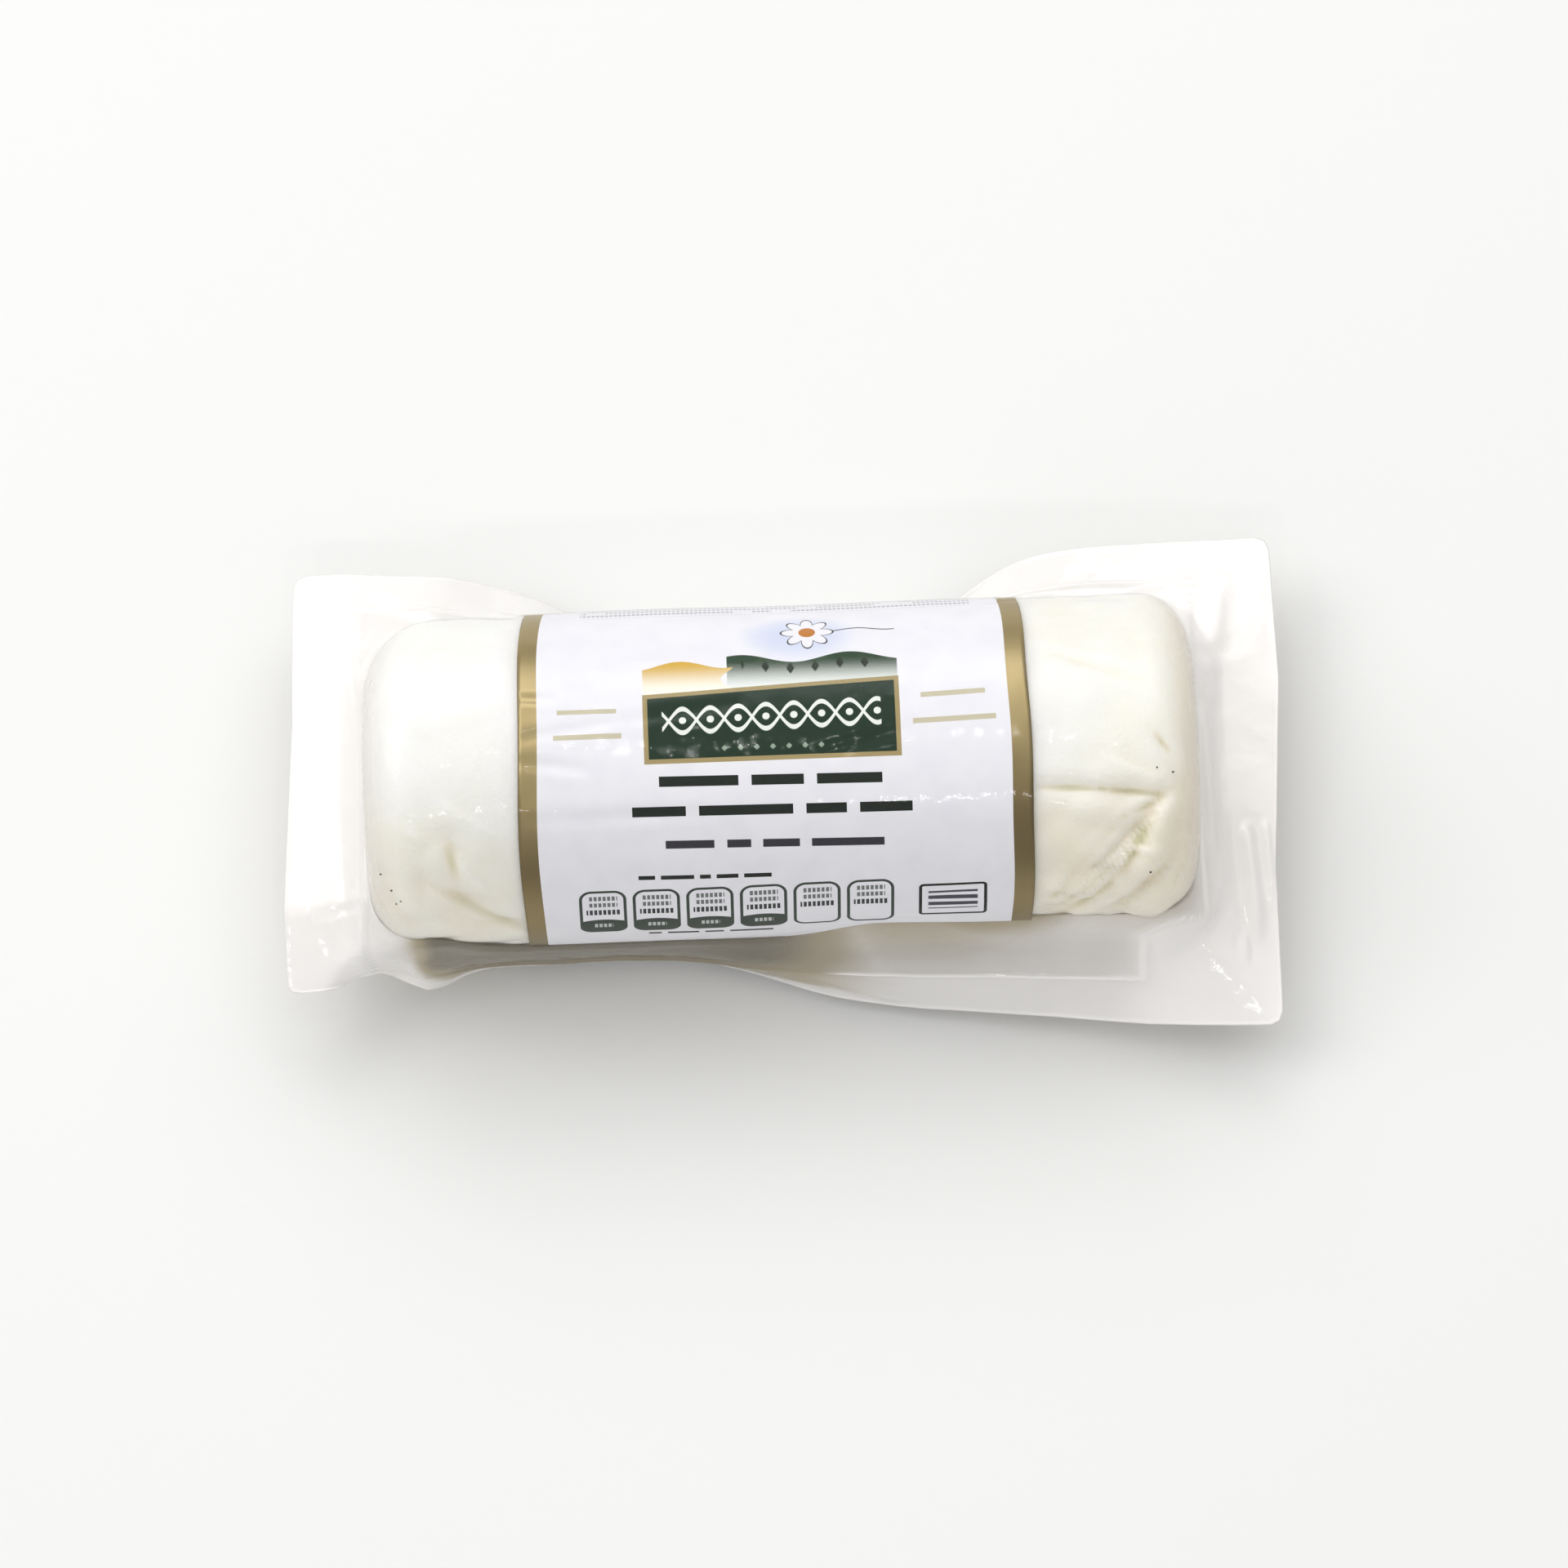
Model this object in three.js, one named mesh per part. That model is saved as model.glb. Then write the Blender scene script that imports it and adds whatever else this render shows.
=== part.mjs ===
// A fresh goat cheese log in a clear vacuum pouch, with a paper band round its middle.
// Units are millimetres. +X runs along the log and +Z is up. The shown side faces up and towards -Y.
// The origin is under the middle of the pouch, on the surface that the log rests on.
// An angle round the log is counted from its top, positive towards -Y.
import * as THREE from 'three';

// Cheese log
const logLength = 115;
const logRadius = 23;
const logMiddleX = -0.8;              // the log sits a little to the left in its pouch
const axisHeight = 22.2;              // less than the radius, so a flat strip forms underneath
const endEdgeRadius = 7;              // rounding between the side and each flat end
const slackEdgeRadius = 11;           // softer rounding at the back of the left end
const swells = [
  { height: 0.16, perMillimetre: 0.11, perTurn: 2, start: 0 },
  { height: 0.12, perMillimetre: 0.19, perTurn: -3, start: 1 },
];

// Paper band. Each edge is furthest from the log's middle on the shown side, and bows in behind.
const bandLeft = { x: -36.1, bow: 0.95 };
const bandRight = { x: 34.2, bow: 0.4 };
const bandWidestAngle = 40;           // degrees
const bandThickness = 0.6;
const bandProud = 0.2;                // the band stands this far outside the log's own radius
const bandGroundClearance = 0.2;
const clearance = 0.3;                // between pieces that lie against each other

// Sealed film round the log
const pouchLength = 138;
const flangeFlatHalfWidth = 37;       // from the log's axis to the film's edge, laid flat
const frontTaper = 0.012;             // along the front the edge runs inwards to the left, per millimetre
const frontTaperStart = 50;
const leftCut = 7.4;                  // the film is cut this much narrower at its front left corner
const leftCutFrom = -59;
const leftCutTo = -47;
const mouthHeight = 15.5;             // where the two films meet at the log's side
const mouthGap = 0.6;                 // between the log and the middle of the film
const webWidth = 7.5;                 // clear web between the log and the sealed strip
const filmThickness = 0.6;
const bendSoftness = 1;               // rounding of each fold
const endPanelRise = 3.6;             // the left end's middle panel stands above the mouth line
const panelRiseStart = 9;             // before the log's left end, where the panel starts to rise
const panelRiseEnd = 1;
const leftFoldHalfWidth = 16;         // where that panel folds down into the two side wings
const endDroop = 0.12;                // slope of the flange past each end of the log
const ripples = [
  { height: 0.22, alongPerMillimetre: 0.21, acrossPerMillimetre: 0, start: 1 },
  { height: 0.13, alongPerMillimetre: 0.47, acrossPerMillimetre: 0.2, start: 0 },
];
const lowestFilm = 0.4;               // the film's middle where its edge touches down

// Slopes of the side wings in degrees below level: x, web slope, sealed strip slope
const frontSlopes = [
  [-69, 30, 30], [-63, 31, 31], [-57, 38, 40], [-51, 94, 101], [-45, 100, 107], [-30, 99, 108],
  [-15, 99, 114], [-2, 80, 98], [8, 70, 71], [24, 61, 59], [44, 44, 48], [69, 20, 20],
];
const backSlopes = [
  [-69, 18, 18], [-55, 20, 22], [-42, 28, 30], [-33, 42, 48], [-20, 72, 84],
  [16, 72, 84], [27, 46, 52], [36, 21, 23], [69, 13, 14],
];

// Creases of the film that print into the soft cheese: ends as [x from the log's middle, angle].
// Each has a raised lip beside its valley, and is shallower towards its ends.
const lipShare = 0.35;                // of the valley's depth
const lipDistance = 1.9;              // in valley widths
const endDepthShare = 0.55;
const creases = [
  { from: [35.5, 28.4], to: [52.5, 33], depth: 0.75, width: 1.5 },
  { from: [51.5, 34.5], to: [35.5, 80], depth: 0.6, width: 2.1 },
  { from: [50.5, 56], to: [39, 84], depth: 0.45, width: 2.0 },
  { from: [49, 6], to: [54, 27], depth: 0.4, width: 1.8 },
  { from: [-45.5, 40], to: [-45, 56], depth: 0.5, width: 1.8 },
  { from: [-47, 60], to: [-37, 83], depth: 0.5, width: 2.2 },
  { from: [-56, 58], to: [-52, 80], depth: 0.5, width: 2.0 },
];

// Mesh steps
const stepsRound = 76;
const stepsAlongBody = 10;
const stepsAlongEnd = 7;
const stepsAcrossEdge = 5;
const bandSteps = 6;
const flangeStepsAcross = 8;
const flangeStep = 3.3;
const cornerSteps = 10;

const degrees = Math.PI / 180;
const mouthAngle = Math.acos((mouthHeight - axisHeight) / logRadius);

// Eases from 0 at start to 1 at end
function ease(start, end, value) {
  const t = Math.min(1, Math.max(0, (value - start) / (end - start)));
  return t * t * (3 - 2 * t);
}

// Zero up to 0, then a rounded start that runs on as a straight line
function softRamp(value, softness) {
  if (value <= 0) return 0;
  return value < softness ? (value * value) / (2 * softness) : value - softness / 2;
}

// A smooth line through stations [x, value, value], leaving each along the line between its neighbours
function throughStations(stations, x, column) {
  const last = stations.length - 1;
  const at = Math.min(stations[last][0], Math.max(stations[0][0], x));
  const k = Math.min(last - 1, stations.findLastIndex((station) => station[0] <= at));
  const tangent = (i) => {
    const [low, high] = [stations[Math.max(0, i - 1)], stations[Math.min(last, i + 1)]];
    return (high[column] - low[column]) / (high[0] - low[0]);
  };
  const [here, next] = [stations[k], stations[k + 1]];
  const span = next[0] - here[0];
  const t = (at - here[0]) / span;
  const [t2, t3] = [t * t, t * t * t];
  return (2 * t3 - 3 * t2 + 1) * here[column] + (3 * t2 - 2 * t3) * next[column]
    + span * ((t3 - 2 * t2 + t) * tangent(k) + (t3 - t2) * tangent(k + 1));
}

// Distance from a point to a straight crease, and how far along the crease it lies
function creaseDistance(crease, x, arc) {
  const [x0, a0] = crease.from;
  const [x1, a1] = crease.to;
  const start = new THREE.Vector2(x0, a0 * degrees * logRadius);
  const run = new THREE.Vector2(x1, a1 * degrees * logRadius).sub(start);
  const offset = new THREE.Vector2(x, arc).sub(start);
  const along = Math.min(1, Math.max(0, offset.dot(run) / run.lengthSq()));
  return { along, distance: offset.sub(run.multiplyScalar(along)).length() };
}

function creaseRelief(x, angle) {
  let relief = 0;
  for (const crease of creases) {
    const { along, distance } = creaseDistance(crease, x, angle * logRadius);
    const spread = distance / crease.width;
    const depth = crease.depth * (endDepthShare + (1 - endDepthShare) * Math.sin(Math.PI * along));
    relief -= depth * Math.exp(-spread * spread);
    relief += lipShare * depth * Math.exp(-((spread - lipDistance) ** 2));
  }
  return relief;
}

function swell(x, angle) {
  const heights = swells.map((s) => s.height * Math.sin(s.perMillimetre * x + s.perTurn * angle + s.start));
  return heights.reduce((sum, height) => sum + height, 0);
}

function endRounding(side, angle) {
  const slack = side < 0 ? 0.5 - 0.5 * Math.sin(angle) : 0;
  return endEdgeRadius + (slackEdgeRadius - endEdgeRadius) * slack ** 3;
}

function ringPoints(pointAt) {
  return Array.from({ length: stepsRound }, (_, i) => pointAt((i / stepsRound) * 2 * Math.PI - Math.PI));
}

// A point on the log's surface or near it, never lower than its floor
function pointRound(fromMiddle, angle, radius, floor) {
  const y = -radius * Math.sin(angle);
  const z = axisHeight + radius * Math.cos(angle);
  return new THREE.Vector3(logMiddleX + fromMiddle, y, Math.max(floor, z));
}

function bareRing(x) {
  return ringPoints((angle) => pointRound(x, angle, logRadius + swell(x, angle) + creaseRelief(x, angle), 0));
}

// The log is a little slimmer where the band squeezes it
function bandedRing(x) {
  const inset = clearance + bandThickness - bandProud;
  const floor = bandGroundClearance + bandThickness + clearance;
  return ringPoints((angle) => pointRound(x, angle, logRadius - inset, floor));
}

// Across runs from 0 on the straight side to 1 on the flat end
function edgeRing(side, across) {
  const turn = across * 90 * degrees;
  return ringPoints((angle) => {
    const edge = endRounding(side, angle);
    const x = side * (logLength / 2 - edge + edge * Math.sin(turn));
    const relief = (swell(x, angle) + creaseRelief(x, angle)) * Math.cos(turn);
    return pointRound(x, angle, logRadius - edge + edge * Math.cos(turn) + relief, 0);
  });
}

function geometryFrom(points, triangles) {
  const geometry = new THREE.BufferGeometry().setFromPoints(points);
  geometry.setIndex(triangles.flat());
  geometry.computeVertexNormals();
  return geometry;
}

// A skin over rings of points, closed by a middle point at each end
function closedTube(rings) {
  const points = rings.flat();
  const count = rings[0].length;
  const triangles = [];
  for (let r = 0; r + 1 < rings.length; r += 1) {
    for (let i = 0; i < count; i += 1) {
      const [a, b] = [r * count + i, r * count + ((i + 1) % count)];
      triangles.push([a, b, b + count], [a, b + count, a + count]);
    }
  }
  const firstOfLast = (rings.length - 1) * count;
  for (const first of [0, firstOfLast]) {
    const ring = points.slice(first, first + count);
    const middle = ring.reduce((sum, p) => sum.add(p), new THREE.Vector3()).divideScalar(count);
    const pole = points.push(middle) - 1;
    for (let i = 0; i < count; i += 1) {
      const [a, b] = [first + i, first + ((i + 1) % count)];
      triangles.push(first === 0 ? [pole, b, a] : [pole, a, b]);
    }
  }
  return geometryFrom(points, triangles);
}

// A thin sheet that closes on itself round a ring. Both faces are split into triangles alike.
// The first face looks outwards where a step round, then a step across, turn right-handed about it.
function ringSheet(around, across, firstFace, secondFace) {
  const points = [];
  for (const pointAt of [firstFace, secondFace]) {
    for (let i = 0; i < around; i += 1) {
      for (let j = 0; j <= across; j += 1) points.push(pointAt(i, j));
    }
  }
  const row = across + 1;
  const second = around * row;
  const triangles = [];
  for (let i = 0; i < around; i += 1) {
    const here = i * row;
    const next = ((i + 1) % around) * row;
    for (let j = 0; j < across; j += 1) {
      const [a, b, c, d] = [here + j, next + j, next + j + 1, here + j + 1];
      triangles.push([a, b, c], [a, c, d]);
      triangles.push([second + a, second + c, second + b], [second + a, second + d, second + c]);
    }
    const rims = [[here, next], [next + across, here + across]];
    for (const [a, b] of rims) triangles.push([a, second + a, second + b], [a, second + b, b]);
  }
  return geometryFrom(points, triangles);
}

function evenSteps(from, to, count) {
  return Array.from({ length: count + 1 }, (_, i) => from + ((to - from) * i) / count);
}

function cheeseLog() {
  const sliver = 0.02;
  const grooveLeft = bandLeft.x - clearance;
  const grooveRight = bandRight.x + clearance;
  const rings = evenSteps(1, 0, stepsAcrossEdge).slice(0, -1).map((across) => edgeRing(-1, across));
  const left = evenSteps(slackEdgeRadius - logLength / 2, grooveLeft, stepsAlongEnd);
  const middle = evenSteps(grooveLeft + sliver, grooveRight - sliver, stepsAlongBody);
  const right = evenSteps(grooveRight, logLength / 2 - endEdgeRadius, stepsAlongEnd).slice(0, -1);
  rings.push(...left.map(bareRing), ...middle.map(bandedRing), ...right.map(bareRing));
  rings.push(...evenSteps(0, 1, stepsAcrossEdge).map((across) => edgeRing(1, across)));
  return closedTube(rings);
}

function bandEdge(edge, angle) {
  const drawnIn = edge.bow * (1 - Math.cos(angle - bandWidestAngle * degrees));
  return edge.x - Math.sign(edge.x) * drawnIn;
}

function paperBand() {
  const outerRadius = logRadius + bandProud;
  const face = (radius, floor) => (i, j) => {
    const angle = (i / stepsRound) * 2 * Math.PI - Math.PI;
    const left = bandEdge(bandLeft, angle);
    const x = left + ((bandEdge(bandRight, angle) - left) * j) / bandSteps;
    return pointRound(x, angle, radius, floor);
  };
  const outer = face(outerRadius, bandGroundClearance);
  const inner = face(outerRadius - bandThickness, bandGroundClearance + bandThickness);
  return ringSheet(stepsRound, bandSteps, outer, inner);
}

// How far the left end's raised panel has taken over, 0 to 1
function leftEndShare(fromMiddle) {
  return ease(panelRiseStart - logLength / 2, panelRiseEnd - logLength / 2, fromMiddle);
}

// The log's outline at the height of the mouth, on its way round one end's edge
function mouthCorner(side, front, across) {
  const turn = across * 90 * degrees;
  const edge = endRounding(side, front ? mouthAngle : -mouthAngle);
  const x = side * (logLength / 2 - edge + (edge + mouthGap) * Math.sin(turn));
  const below = axisHeight - mouthHeight - endPanelRise * (side < 0 ? leftEndShare(x) : 0);
  const radius = logRadius - edge + edge * Math.cos(turn);
  const y = Math.sqrt(radius * radius - below * below) + mouthGap * Math.cos(turn);
  return new THREE.Vector2(x, front ? -y : y);
}

// Half the width of the mouth at a place along the log, 0 past its ends
function mouthHalfWidth(fromMiddle, front) {
  const side = Math.sign(fromMiddle);
  const straightEnd = Math.abs(mouthCorner(side, front, 0).x);
  if (Math.abs(fromMiddle) <= straightEnd) return Math.abs(mouthCorner(side, front, 0).y);
  const edge = logLength / 2 - straightEnd + mouthGap;
  const sine = (Math.abs(fromMiddle) - straightEnd) / edge;
  return sine >= 1 ? 0 : Math.abs(mouthCorner(side, front, Math.asin(sine) / (90 * degrees)).y);
}

// From the log's axis to the film's edge, laid flat: narrower towards the left corner in front
function flatHalfWidth(x, front) {
  const taper = frontTaper * Math.max(0, frontTaperStart - x);
  const cut = leftCut * (1 - ease(leftCutFrom, leftCutTo, x));
  return flangeFlatHalfWidth - (front ? taper + cut : 0);
}

function filmRipple(x, y) {
  const height = (r) => r.height * Math.sin(r.alongPerMillimetre * x + r.acrossPerMillimetre * y + r.start);
  return ripples.reduce((sum, ripple) => sum + height(ripple), 0);
}

// Folds a point of the flat film: the side wings bend down along the mouth, then along the seal
function foldedFilm(fromMiddle, flatY) {
  const front = flatY < 0;
  const slopes = front ? frontSlopes : backSlopes;
  const pouchX = fromMiddle + logMiddleX;
  const leftEnd = leftEndShare(fromMiddle);
  const sideFold = Math.abs(mouthCorner(1, front, 0).y);
  const endFold = sideFold + (leftFoldHalfWidth - sideFold) * leftEnd;
  const foldLine = Math.max(endFold, mouthHalfWidth(fromMiddle, front));
  const reach = Math.abs(flatY);
  const beyond = softRamp(reach - foldLine, bendSoftness);
  const strip = softRamp(beyond - webWidth, bendSoftness);
  const web = beyond - strip;
  const webSlope = throughStations(slopes, pouchX, 1) * degrees;
  const stripSlope = throughStations(slopes, pouchX, 2) * degrees;
  const across = reach - beyond + web * Math.cos(webSlope) + strip * Math.cos(stripSlope);
  const pastEnd = softRamp(Math.abs(fromMiddle) - logLength / 2 - mouthGap, bendSoftness);
  const drop = web * Math.sin(webSlope) + strip * Math.sin(stripSlope) + pastEnd * endDroop;
  const wave = filmRipple(pouchX, flatY) * Math.min(1, beyond / webWidth);
  const height = mouthHeight + endPanelRise * leftEnd - drop + wave;
  return new THREE.Vector3(pouchX, front ? -across : across, Math.max(lowestFilm, height));
}

// Pairs of flat points round the pouch: one on the mouth and one on the film's edge
function flangeStations() {
  const stations = [];
  const addLine = (from, to) => {
    const count = Math.round(from.mouth.distanceTo(to.mouth) / flangeStep);
    const alongSide = from.edge.y * to.edge.y > 0;
    for (let i = 0; i < count; i += 1) {
      const mix = (key) => from[key].clone().lerp(to[key], i / count);
      const edge = mix('edge');
      if (alongSide) edge.y = Math.sign(edge.y) * flatHalfWidth(edge.x, edge.y < 0);
      stations.push({ mouth: mix('mouth'), edge });
    }
  };
  // The film's edge runs out past its square corner while the mouth turns round the log's end
  const cornerPath = ([side, front]) => {
    const outwards = (side > 0) === front;
    const sideMouth = mouthCorner(side, front, 0);
    const endMouth = mouthCorner(side, front, 1);
    const squareX = (side * pouchLength) / 2 - logMiddleX;
    return evenSteps(outwards ? 0 : 1, outwards ? 1 : 0, cornerSteps).map((across) => {
      const x = sideMouth.x + (squareX - sideMouth.x) * Math.min(1, 2 * across);
      const squareY = flatHalfWidth(x, front) * (front ? -1 : 1);
      const y = endMouth.y + (squareY - endMouth.y) * Math.min(1, 2 - 2 * across);
      return { mouth: mouthCorner(side, front, across), edge: new THREE.Vector2(x, y) };
    });
  };
  const corners = [[1, true], [1, false], [-1, false], [-1, true]].map(cornerPath);
  corners.forEach((path, k) => {
    stations.push(...path.slice(0, -1));
    addLine(path[path.length - 1], corners[(k + 1) % corners.length][0]);
  });
  return stations;
}

function sealedFilm() {
  const stations = flangeStations();
  const nudge = 0.05;
  const face = (side) => (i, j) => {
    const { mouth, edge } = stations[i];
    const { x, y } = mouth.clone().lerp(edge, j / flangeStepsAcross);
    const alongX = foldedFilm(x + nudge, y).sub(foldedFilm(x - nudge, y));
    const alongY = foldedFilm(x, y + nudge).sub(foldedFilm(x, y - nudge));
    const normal = alongX.cross(alongY).normalize();
    return foldedFilm(x, y).addScaledVector(normal, (side * filmThickness) / 2);
  };
  return ringSheet(stations.length, flangeStepsAcross, face(-1), face(1));
}

function piece(name, geometry, color, roughness) {
  const mesh = new THREE.Mesh(geometry, new THREE.MeshStandardMaterial({ color, roughness, metalness: 0 }));
  mesh.name = name;
  return mesh;
}

const group = new THREE.Group();
group.add(piece('cheese_log', cheeseLog(), 0xf0ead8, 0.6));
group.add(piece('label_band', paperBand(), 0xf6f6f8, 0.45));
group.add(piece('pouch_film', sealedFilm(), 0xe4e3e1, 0.15));

export default group;
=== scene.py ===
# %% [markdown]
# # A fresh goat cheese log in its vacuum pouch
# This lesson dresses three plain solids: a soft log of cheese, the paper band round its middle, and
# the clear film that is sealed round both. Every visible surface here is worked out by a formula on a
# grid of points, and every finish is made of shader nodes, with no pictures.

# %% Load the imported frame
import math

import bpy
import numpy as np
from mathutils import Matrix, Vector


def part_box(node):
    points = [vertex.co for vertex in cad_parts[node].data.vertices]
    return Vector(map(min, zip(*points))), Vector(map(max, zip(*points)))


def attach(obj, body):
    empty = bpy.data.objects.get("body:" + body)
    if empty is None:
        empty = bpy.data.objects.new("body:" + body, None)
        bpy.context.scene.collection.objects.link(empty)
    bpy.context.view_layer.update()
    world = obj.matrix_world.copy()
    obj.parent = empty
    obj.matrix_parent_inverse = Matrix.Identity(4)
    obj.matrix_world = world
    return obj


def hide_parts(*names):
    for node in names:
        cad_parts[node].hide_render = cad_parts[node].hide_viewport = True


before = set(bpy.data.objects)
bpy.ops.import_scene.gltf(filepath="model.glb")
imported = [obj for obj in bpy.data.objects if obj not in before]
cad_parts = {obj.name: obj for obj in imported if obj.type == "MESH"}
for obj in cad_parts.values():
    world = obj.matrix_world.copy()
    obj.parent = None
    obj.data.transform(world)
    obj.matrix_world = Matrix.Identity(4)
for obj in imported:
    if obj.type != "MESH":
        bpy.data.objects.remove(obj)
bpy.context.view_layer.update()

print("solids in the frame:", sorted(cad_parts))

# %% [markdown]
# ## Sizes
# The solids already say how large the real thing is, so the main sizes are read from them. The rest
# are the maker's own numbers, in millimetres. An angle round the log is counted from its top, and is
# positive towards the shown side, which faces -Y.

# %% Main sizes in millimetres
METRES = 0.001
DEGREES = math.pi / 180


def box_in_millimetres(node):
    """Lowest and highest corner of a solid, metres divided by METRES."""
    return [np.array(corner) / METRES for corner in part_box(node)]


log_low, log_high = box_in_millimetres("cheese_log")
band_low, band_high = box_in_millimetres("label_band")

BAND_PROUD = 0.2
LOG_LENGTH = log_high[0] - log_low[0]
LOG_MIDDLE = (log_high[0] + log_low[0]) / 2
LOG_RADIUS = band_high[1] - BAND_PROUD
AXIS_HEIGHT = band_high[2] - band_high[1]
END_EDGE = 7.0
SLACK_EDGE = 11.0

BAND_EDGES = {"left": (-36.1, 0.95), "right": (34.2, 0.4)}
BAND_WIDEST = 40 * DEGREES

print(f"log {LOG_LENGTH:.1f} mm long, {2 * LOG_RADIUS:.1f} mm across, axis at {AXIS_HEIGHT:.1f} mm")

# %% [markdown]
# ## From a grid of points to a mesh
# A surface is a grid: one row for each step of its first parameter and one column for each step of
# its second. Four neighbours make a face. NumPy works out all the corners at once, which is much
# faster than visiting the points one by one.


# %% Grid helpers
def grid_faces(rows, columns, wrap=False, first=0):
    """Corners of each cell: here, one row on, one row and one column on, one column on."""
    row = np.arange(rows if wrap else rows - 1)[:, None]
    column = np.arange(columns - 1)[None, :]
    here = first + row * columns + column
    ahead = first + (row + 1) % rows * columns + column
    return np.stack([here, ahead, ahead + 1, here + 1], axis=-1).reshape(-1, 4)


def build_piece(name, points, faces, slot, material):
    """Puts points in millimetres and faces into a mesh that rides on the one body."""
    mesh = bpy.data.meshes.new(name)
    mesh.from_pydata((points * METRES).tolist(), [], faces)
    mesh.polygons.foreach_set("use_smooth", np.ones(len(mesh.polygons), dtype=bool))
    mesh.materials.append(material)
    mesh.update()
    piece = bpy.data.objects.new(name, mesh)
    bpy.context.scene.collection.objects.link(piece)
    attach(piece, "root")
    print(f"{name}: {len(mesh.vertices)} points, {len(mesh.polygons)} faces")
    return piece


def store(piece, name, values):
    """Keeps one number for each point of the mesh, which a material can read by its name."""
    attribute = piece.data.attributes.new(name, "FLOAT", "POINT")
    attribute.data.foreach_set("value", np.asarray(values, dtype=np.float32).ravel())


# %% [markdown]
# ## Small formulas that the shapes share
# A film under vacuum is full of gentle slopes and sharp folds. Slopes come from easing and soft
# ramps, smooth unevenness from a sum of sine waves in random directions, and folds from the folded
# waves `abs(sin)`, whose turning points are sharp.


# %% Easing, ramps and waves
def ease(start, end, value):
    """t * t * (3 - 2 t), where t runs from 0 at start to 1 at end."""
    t = np.clip((value - start) / (end - start), 0, 1)
    return t * t * (3 - 2 * t)


def soft_ramp(value, softness):
    """0 below 0, then v * v / (2 softness) up to the softness, then v - softness / 2."""
    v = np.maximum(value, 0)
    return np.where(v < softness, v * v / (2 * softness), v - softness / 2)


def through_stations(stations, x, column):
    """A smooth line through stations, each left along the line between its neighbours."""
    table = np.array(stations, dtype=float)
    place, value = table[:, 0], table[:, column]
    order = np.arange(len(place))
    low, high = np.maximum(order - 1, 0), np.minimum(order + 1, len(place) - 1)
    tangent = (value[high] - value[low]) / (place[high] - place[low])
    at = np.clip(x, place[0], place[-1])
    k = np.clip(np.searchsorted(place, at, side="right") - 1, 0, len(place) - 2)
    span = place[k + 1] - place[k]
    t = (at - place[k]) / span
    ends = (2 * t**3 - 3 * t**2 + 1) * value[k] + (3 * t**2 - 2 * t**3) * value[k + 1]
    return ends + span * ((t**3 - 2 * t**2 + t) * tangent[k] + (t**3 - t**2) * tangent[k + 1])


def random_waves(seed, count, shortest, longest):
    """Directions times wave numbers, and phases, for waves between two lengths in millimetres."""
    rng = np.random.default_rng(seed)
    direction = rng.normal(size=(count, 3))
    direction /= np.linalg.norm(direction, axis=1, keepdims=True)
    length = rng.uniform(shortest, longest, size=(count, 1))
    return direction * 2 * math.pi / length, rng.uniform(0, 2 * math.pi, size=count)


def unevenness(points, seed, shortest, longest, count=7):
    """Mean of sines of (wave number . point + phase), about -1 to 1."""
    waves, phases = random_waves(seed, count, shortest, longest)
    return 1.6 * np.sin(points @ waves.T + phases).mean(axis=-1)


def crumple(points, seed, shortest, longest, count=5):
    """Folded waves: the mean of abs(sin), each bent by slow unevenness and fading in and out."""
    waves, phases = random_waves(seed, count, shortest, longest)
    total = np.zeros(points.shape[:-1])
    for k in range(count):
        bend = 1.1 * unevenness(points, seed + 10 + k, 3 * shortest, 3 * longest)
        patch = ease(-0.3, 0.6, unevenness(points, seed + 30 + k, 2 * longest, 5 * longest))
        total += patch * (np.abs(np.sin(0.5 * (points @ waves[k]) + phases[k] + bend)) - 0.64)
    return total / count


print("wave of 10 mm through 3 points:", unevenness(np.eye(3) * 5, 1, 9, 11).round(2))

# %% [markdown]
# ## The skin of the log
# Vacuum presses the film into the soft cheese, so cheese and film share one skin. It is a tube that
# closes over two flat ends with rounded edges. The first parameter runs from the middle of the left
# end, over its edge, along the side and down to the middle of the right end. The second runs round.

# %% Creases that the film presses into the cheese
LIP_SHARE = 0.35
LIP_DISTANCE = 1.9
END_DEPTH_SHARE = 0.55
# Ends as (x from the log's middle, angle), then depth and width in millimetres
DEEP_CREASES = [
    ((35.5, 28.4), (52.5, 33), 0.5, 1.3),
    ((51.5, 34.5), (35.5, 80), 0.5, 1.2),
    ((50.5, 40), (47.5, 59), 0.65, 1.1),
    ((48.5, 47), (43.5, 68), 0.75, 1.4),
    ((43.5, 68), (35.8, 86), 0.85, 1.7),
    ((53.0, 57), (46.5, 80), 0.6, 1.4),
    ((51.0, 11), (53.2, 19), 0.3, 1.2),
    ((-45.5, 40), (-45, 56), 0.5, 1.8),
    ((-47, 60), (-37, 83), 0.6, 2.6),
    ((-56, 58), (-52, 80), 0.5, 2.0),
]
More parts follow.
